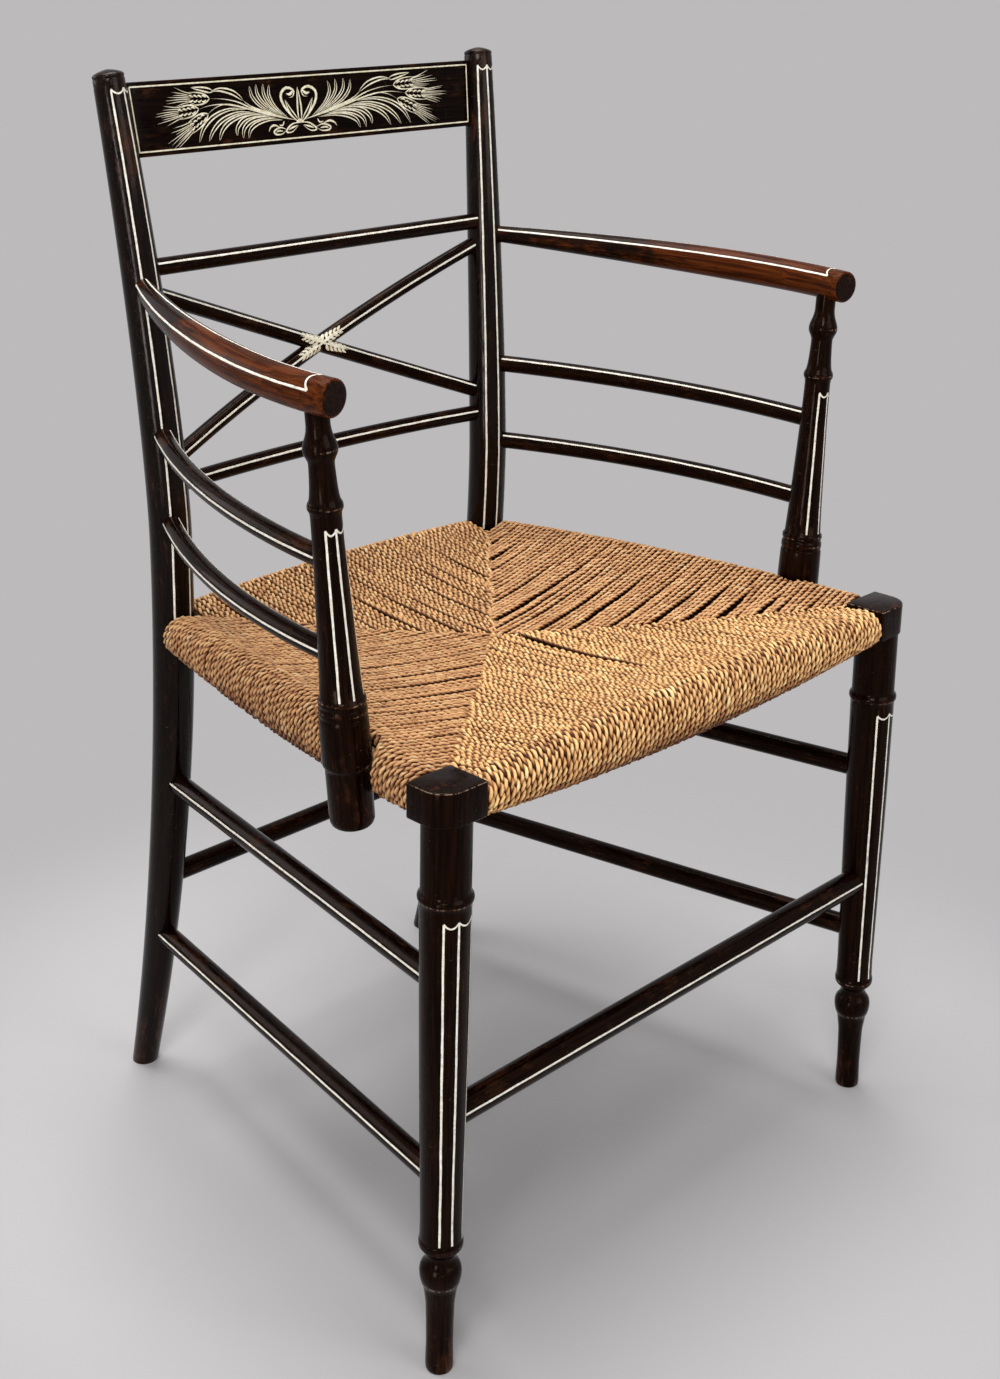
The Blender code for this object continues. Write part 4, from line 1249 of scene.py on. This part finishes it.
def crownedLines(surface, radiusAt, low, high, angles, seed):
    # three lines whose tops are joined by two scallops
    strokes = []
    for k, angle in enumerate(angles):
        turn = math.radians(angle)
        strokes.append((surface, *lineRun(lambda along: turn * radiusAt(along), low, high, seed + k)))
    for a, b in zip(angles, angles[1:]):
        run = []
        for i in range(lining["scallopSteps"] + 1):
            t = i / lining["scallopSteps"]
            along = high - lining["scallop"] * scallopDip(t)
            run.append((math.radians(a + (b - a) * t) * radiusAt(along), along + lining["scallopRise"]))
        strokes.append((surface, run, [lining["width"] * lining["scallopWidth"]] * len(run)))
    return strokes


def alongAt(path, reach, z):
    for i in range(1, len(path)):
        if path[i].z >= z:
            share = (z - path[i - 1].z) / max(1e-9, path[i].z - path[i - 1].z)
            return reach[i - 1] + (reach[i] - reach[i - 1]) * share
    return reach[-1]


def turnedPath(piece, axisAt, side):
    profile = turned(piece)[::-1]
    return [axisAt(side, z) for z, r in profile], [r for z, r in profile]


uprights = {
    # piece: lowest and highest height of the lines, and their angles from the front
    "leftPost": (0.430, 0.8255, (-32, 18, 68)), "rightPost": (0.430, 0.8240, (-49, -8, 33)),
    "leftLeg": (0.1062, 0.3450, (-48, -14, 31)), "rightLeg": (0.1062, 0.3450, (-41, -2, 40)),
    "leftSupport": (0.4712, 0.5850, (-47, -7, 42)), "rightSupport": (0.4712, 0.5850, (-42, 6, 54)),
}
for word, side in sides:
    for kind, (path, radii) in (("Post", postPaths[word]), ("Leg", turnedPath(frontLeg, legAt, side)),
                                ("Support", turnedPath(armSupport, supportAt, side))):
        bottom, top, angles = uprights[word + kind]
        surface, radiusAt, reach = tubeSurface(path, radii, -backward)
        low, high = alongAt(path, reach, bottom), alongAt(path, reach, top)
        strokes = crownedLines(surface, radiusAt, low, high, angles, side * 3.3 + len(kind))
        paintPiece(f"{word}{kind}Lines", strokes, ivoryLineFinish)

rodLines = {
    # piece: zero direction and angles of its lines upwards from there
    "frontStretcher": (-backward, (11,)), "upperBackRail": (-backward, (31,)),
    "lowerBackRail": (-backward, (25,)), "risingCrossRod": (-backward, (14,)),
    "fallingCrossRod": (-backward, (34,)),
}
for word, side in sides:
    for level in ("Upper", "Lower"):
        rodLines[f"{word}{level}Stretcher"] = (rightward * side, (19,))
        rodLines[f"{word}{level}Spindle"] = (rightward * side, (8, 132))


def upwardTurns(path, zero, angles):
    # angles round a piece as turns that count upwards, whichever way it runs
    lifted = 1 if (path[-1] - path[0]).cross(zero).z > 0 else -1
    return [math.radians(angle) * lifted for angle in angles]


strokes = []
for name, (zero, angles) in rodLines.items():
    path, radii = rods[name]
    surface, _, reach = tubeSurface(path, radii, zero)
    for angle, turn in zip(angles, upwardTurns(path, zero, angles)):
        seed = len(name) + angle * 0.1
        line = lineRun(lambda along: turn * radii[0], lining["margin"], reach[-1] - lining["margin"], seed)
        strokes.append((surface, *line))
paintPiece("rodLines", strokes, ivoryLineFinish)

armLines = {
    "left": (24, 99), "right": (76, 139), "start": 0.014, "end": 0.0115, "scallop": 0.0042, "width": 0.85,
    "steps": 12,
}
strokes = []
for word, side in sides:
    path, radii = rods[f"{word}Arm"]
    surface, radiusAt, reach = tubeSurface(path, radii, rightward * side)
    stop = reach[-1] - armLines["end"]
    turns = upwardTurns(path, rightward * side, armLines[word])
    for k, turn in enumerate(turns):
        line = lineRun(lambda along: turn * radiusAt(along), armLines["start"], stop, k + side)
        strokes.append((surface, *line))
    a, b = turns
    run = []
    for i in range(armLines["steps"] + 1):
        t = i / armLines["steps"]
        run.append(((a + (b - a) * t) * radiusAt(stop), stop - armLines["scallop"] * scallopDip(t)))
    strokes.append((surface, run, [lining["width"] * armLines["width"]] * len(run)))
paintPiece("armLines", strokes, ivoryLineFinish)


# leaves where the back's rods cross
def leafWidths(count, width, belly=0.45):
    power = math.log(0.5) / math.log(belly)
    return [width * max(0.02, math.sin(math.pi * (i / count) ** power)) for i in range(count + 1)]


crossLeaf = {
    "length": 0.0265, "width": 0.0026, "facing": 0.38, "lobes": 5, "lobeStart": 0.0022, "lobeStep": 0.0043,
    "spread": 0.0054, "spreadLoss": 0.0006, "lobeWidth": 0.0029, "widthLoss": 0.0002, "lobeBelly": 0.55,
    "belly": 0.4, "steps": 10,
    # a lobe's points: share of its spread and distance along the stem
    "lobe": ((0.0, 0.0), (0.6, 0.0016), (1.0, 0.0052)), "lobeSteps": 8,
}
strokes = []
for name in ("risingCrossRod", "fallingCrossRod"):
    path, radii = rods[name]
    facing = (-backward + upward * crossLeaf["facing"]).normalized()
    surface, _, reach = tubeSurface(path, radii, facing)
    start = reach[min(range(len(path)), key=lambda i: abs(path[i].x))]
    for way in (-1, 1):
        for k in range(crossLeaf["lobes"]):
            base = crossLeaf["lobeStart"] + crossLeaf["lobeStep"] * k
            spread = crossLeaf["spread"] - crossLeaf["spreadLoss"] * k
            width = crossLeaf["lobeWidth"] - crossLeaf["widthLoss"] * k
            widths = leafWidths(crossLeaf["lobeSteps"], width, crossLeaf["lobeBelly"])
            for lobe in (-1, 1):
                points = [(lobe * spread * out, start + way * (base + on)) for out, on in crossLeaf["lobe"]]
                strokes.append((surface, softCurve(points, crossLeaf["lobeSteps"]), widths))
        count = crossLeaf["steps"]
        run = [(0.0, start + way * crossLeaf["length"] * i / count) for i in range(count + 1)]
        strokes.append((surface, run, leafWidths(count, crossLeaf["width"], crossLeaf["belly"])))
paintPiece("crossingLeaves", strokes, ornamentFinish)


# wheat-ear spray on the crest: its strokes are in millimetres from the knot, outwards and upwards
spray = {
    "borderHalf": 0.1695, "edge": 0.0036, "borderWidth": 0.0011, "borderSteps": (60, 12),
    "borderUneven": 0.25, "borderPace": 130, "knot": (-0.0145, 0.0012),
    "span": {-1: 0.90, 1: 1.06}, "keptMiddle": 40, "seed": 31, "steps": 16,
    # a veined leaf's halves: distance from the vein and its swell, share of the width and belly
    "veinGap": 0.33, "veinSwell": 0.7, "halfShare": 0.27, "halfBelly": 0.5,
    # strokes: width, belly and points
    "strokes": (
        (2.3, 0.4, ((1, -13), (10, -6), (17, 3), (17.5, 10), (11, 14), (4, 11.5), (5.5, 7), (9.5, 6.5))),
        (2.2, 0.45, ((4, 12), (8, 9), (12, 9.5))),
        (1.5, 0.45, ((0, -13), (8, -13.5), (14, -17), (15, -19.5), (9, -19.5), (2, -15))),
        (1.5, 0.45, ((3, -15), (9, -16.5), (13, -18))),
        (1.5, 0.45, ((15, -17.5), (22, -15.5), (29, -18), (27, -20.5), (20, -20.5), (16, -18))),
        (1.3, 0.45, ((19, -18.5), (24, -18), (27, -19))),
        (1.6, 0.45, ((22, -15.5), (28, -13.5), (33, -15), (35, -18))),
        (1.2, 0.45, ((17, -11), (19, -14), (23, -13.5))),
        (1.15, 0.6, ((95, 10), (81, 9), (66, 6), (50, 0), (26, -6), (4, -11))),
        (1.15, 0.6, ((107, 3), (95, 5), (80, 5), (62, 2), (34, -5), (4, -11))),
        (1.15, 0.6, ((98, -1), (90, 3), (78, 5), (58, 1), (30, -6), (4, -11))),
        (1.15, 0.6, ((62, 8), (52, 2), (36, -3), (16, -8)))),
    # veined leaves: width and points
    "leaves": (
        (4.2, ((2, -12), (9, -4), (14, 5))),
        (3.2, ((52, 17), (50, 9), (41, 1), (24, -6))),
        (3.2, ((45, 18), (44, 10), (36, 2), (20, -7))),
        (3.2, ((37, 18), (37, 10), (30, 1), (16, -8))),
        (3.2, ((30, 17), (31, 9), (25, 0), (12, -9))),
        (4.0, ((110, -21), (104, -11), (92, -3), (75, 1), (56, 0))),
        (4.0, ((100, -21), (94, -13), (83, -6), (66, -2), (48, -3))),
        (4.0, ((89, -21), (85, -14), (76, -8), (60, -4), (42, -4))),
        (4.0, ((70, -19), (69, -13), (61, -7), (48, -5), (32, -6))),
        (4.0, ((64, -21), (62, -14), (54, -9), (41, -7), (26, -8))),
        (4.0, ((58, -21), (55, -15), (47, -11), (34, -9), (18, -10))),
        (4.6, ((60, 7), (70, 13), (83, 16), (93, 15))),
        (4.6, ((91, 15), (100, 17), (113, 19)))),
    "ears": ((95, 10, 3), (107, 3, -5), (98, -1, -25)),  # where each ear starts and the way it leans
    "middleLeaf": (5.6, ((0, -12), (0.3, 0), (0, 14))),
    "knotStroke": (3.2, 0.45, ((-4, -13), (0, -11.6), (4, -13))),
}
wheatEar = {
    # widths and bellies with the points of one husk, one grain and one bristle
    "husk": (1.2, 0.3, ((0, 0), (4, 2.7), (10, 4.3), (17, 4.6), (24, 4.2))),
    "grain": (1.35, 0.45, ((0, 0.9), (2.6, 2.2), (4.6, 1.9))), "grains": 4,
    "grainStart": 3.5, "grainStep": 4.4, "bristle": (0.6, 0.35), "bristles": 8, "bristleStart": (16, 21),
    "bristleEnd": (40, 50), "bristleLoss": 8, "fan": (3.4, 5.2, 7.4),
}
strokes = []


def paintBorder():
    halfHigh = crest["height"] / 2 - spray["edge"]
    lean = (highEnd.x - lowEnd.x) / crest["height"]
    corners = []
    for way, rise in ((-1, -1), (1, -1), (1, 1), (-1, 1), (-1, -1)):
        corners.append((way * (spray["borderHalf"] + rise * halfHigh * lean), rise * halfHigh))
    for side, ((x0, z0), (x1, z1)) in enumerate(zip(corners, corners[1:])):
        count = spray["borderSteps"][side % 2]
        run = [(x0 + (x1 - x0) * i / count, z0 + (z1 - z0) * i / count) for i in range(count + 1)]
        widths = []
        for x, z in run:
            uneven = noise((x * spray["borderPace"], z * spray["borderPace"], 1.0))
            widths.append(spray["borderWidth"] * (1 + spray["borderUneven"] * uneven))
        strokes.append((crestSurface, run, widths))


def sprayRun(way, points):
    placed = []
    for x, z in points:
        # the middle keeps its size
        wide = 1 + (spray["span"][way] - 1) * min(1.0, abs(x) / spray["keptMiddle"])
        placed.append((spray["knot"][0] + way * x * wide / 1000, spray["knot"][1] + z / 1000))
    return softCurve(placed, spray["steps"])


def paintStroke(way, width, belly, points):
    strokes.append((crestSurface, sprayRun(way, points), leafWidths(spray["steps"], width / 1000, belly)))


def paintLeaf(way, width, points):
    # two halves with the dark ground between them as a vein
    run = sprayRun(way, points)
    for half in (-1, 1):
        shifted = []
        for i, (x, z) in enumerate(run):
            nx, nz = sideStep(run, i)
            swell = math.sin(math.pi * (i / spray["steps"]) ** spray["veinSwell"])
            off = half * width / 1000 * spray["veinGap"] * swell
            shifted.append((x + nx * off, z + nz * off))
        widths = leafWidths(spray["steps"], width / 1000 * spray["halfShare"], spray["halfBelly"])
        strokes.append((crestSurface, shifted, widths))


def paintEar(e, way, x, z, angle, chance):
    # an open husk with rows of grain in it and long bristles
    lean = math.radians(angle)

    def at(a, b):
        return x + math.cos(lean) * a - math.sin(lean) * b, z + math.sin(lean) * a + math.cos(lean) * b

    def paintRows(start, width, belly, points):
        for row in (-1, 1):
            paintStroke(way, width, belly, [at(start + a, b * row) for a, b in points])

    paintRows(0, *e["husk"])
    for k in range(e["grains"]):
        paintRows(e["grainStart"] + e["grainStep"] * k, *e["grain"])
    middle = (e["bristles"] - 1) / 2
    rootFan, middleFan, tipFan = e["fan"]
    for k in range(e["bristles"]):
        aside = (k - middle) / middle
        start = chance.uniform(*e["bristleStart"])
        end = chance.uniform(*e["bristleEnd"]) - e["bristleLoss"] * abs(aside)
        tip = at(end, tipFan * aside + chance.uniform(-1, 1))
        points = [at(start, rootFan * aside), at((start + end) / 2, middleFan * aside), tip]
        paintStroke(way, *e["bristle"], points)


def paintSpray():
    chance = random.Random(spray["seed"])
    paintLeaf(1, *spray["middleLeaf"])
    for way in (-1, 1):
        for width, belly, points in spray["strokes"]:
            paintStroke(way, width, belly, points)
        for width, points in spray["leaves"]:
            paintLeaf(way, width, points)
        for x, z, angle in spray["ears"]:
            paintEar(wheatEar, way, x, z, angle, chance)
    paintStroke(1, *spray["knotStroke"])


paintBorder()
paintSpray()
paintPiece("crestSpray", strokes, ornamentFinish)
print("decoration painted")

# the nodes that stay as they are
kept = {f"{word}_seat_rail": bareRailFinish for word in ("front", "rear", "left", "right")}
kept.update({f"{word}_arm_support_screw": screwFinish for word in ("left", "right")})
for name, finish in kept.items():
    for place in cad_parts[name].material_slots:
        place.material = finish
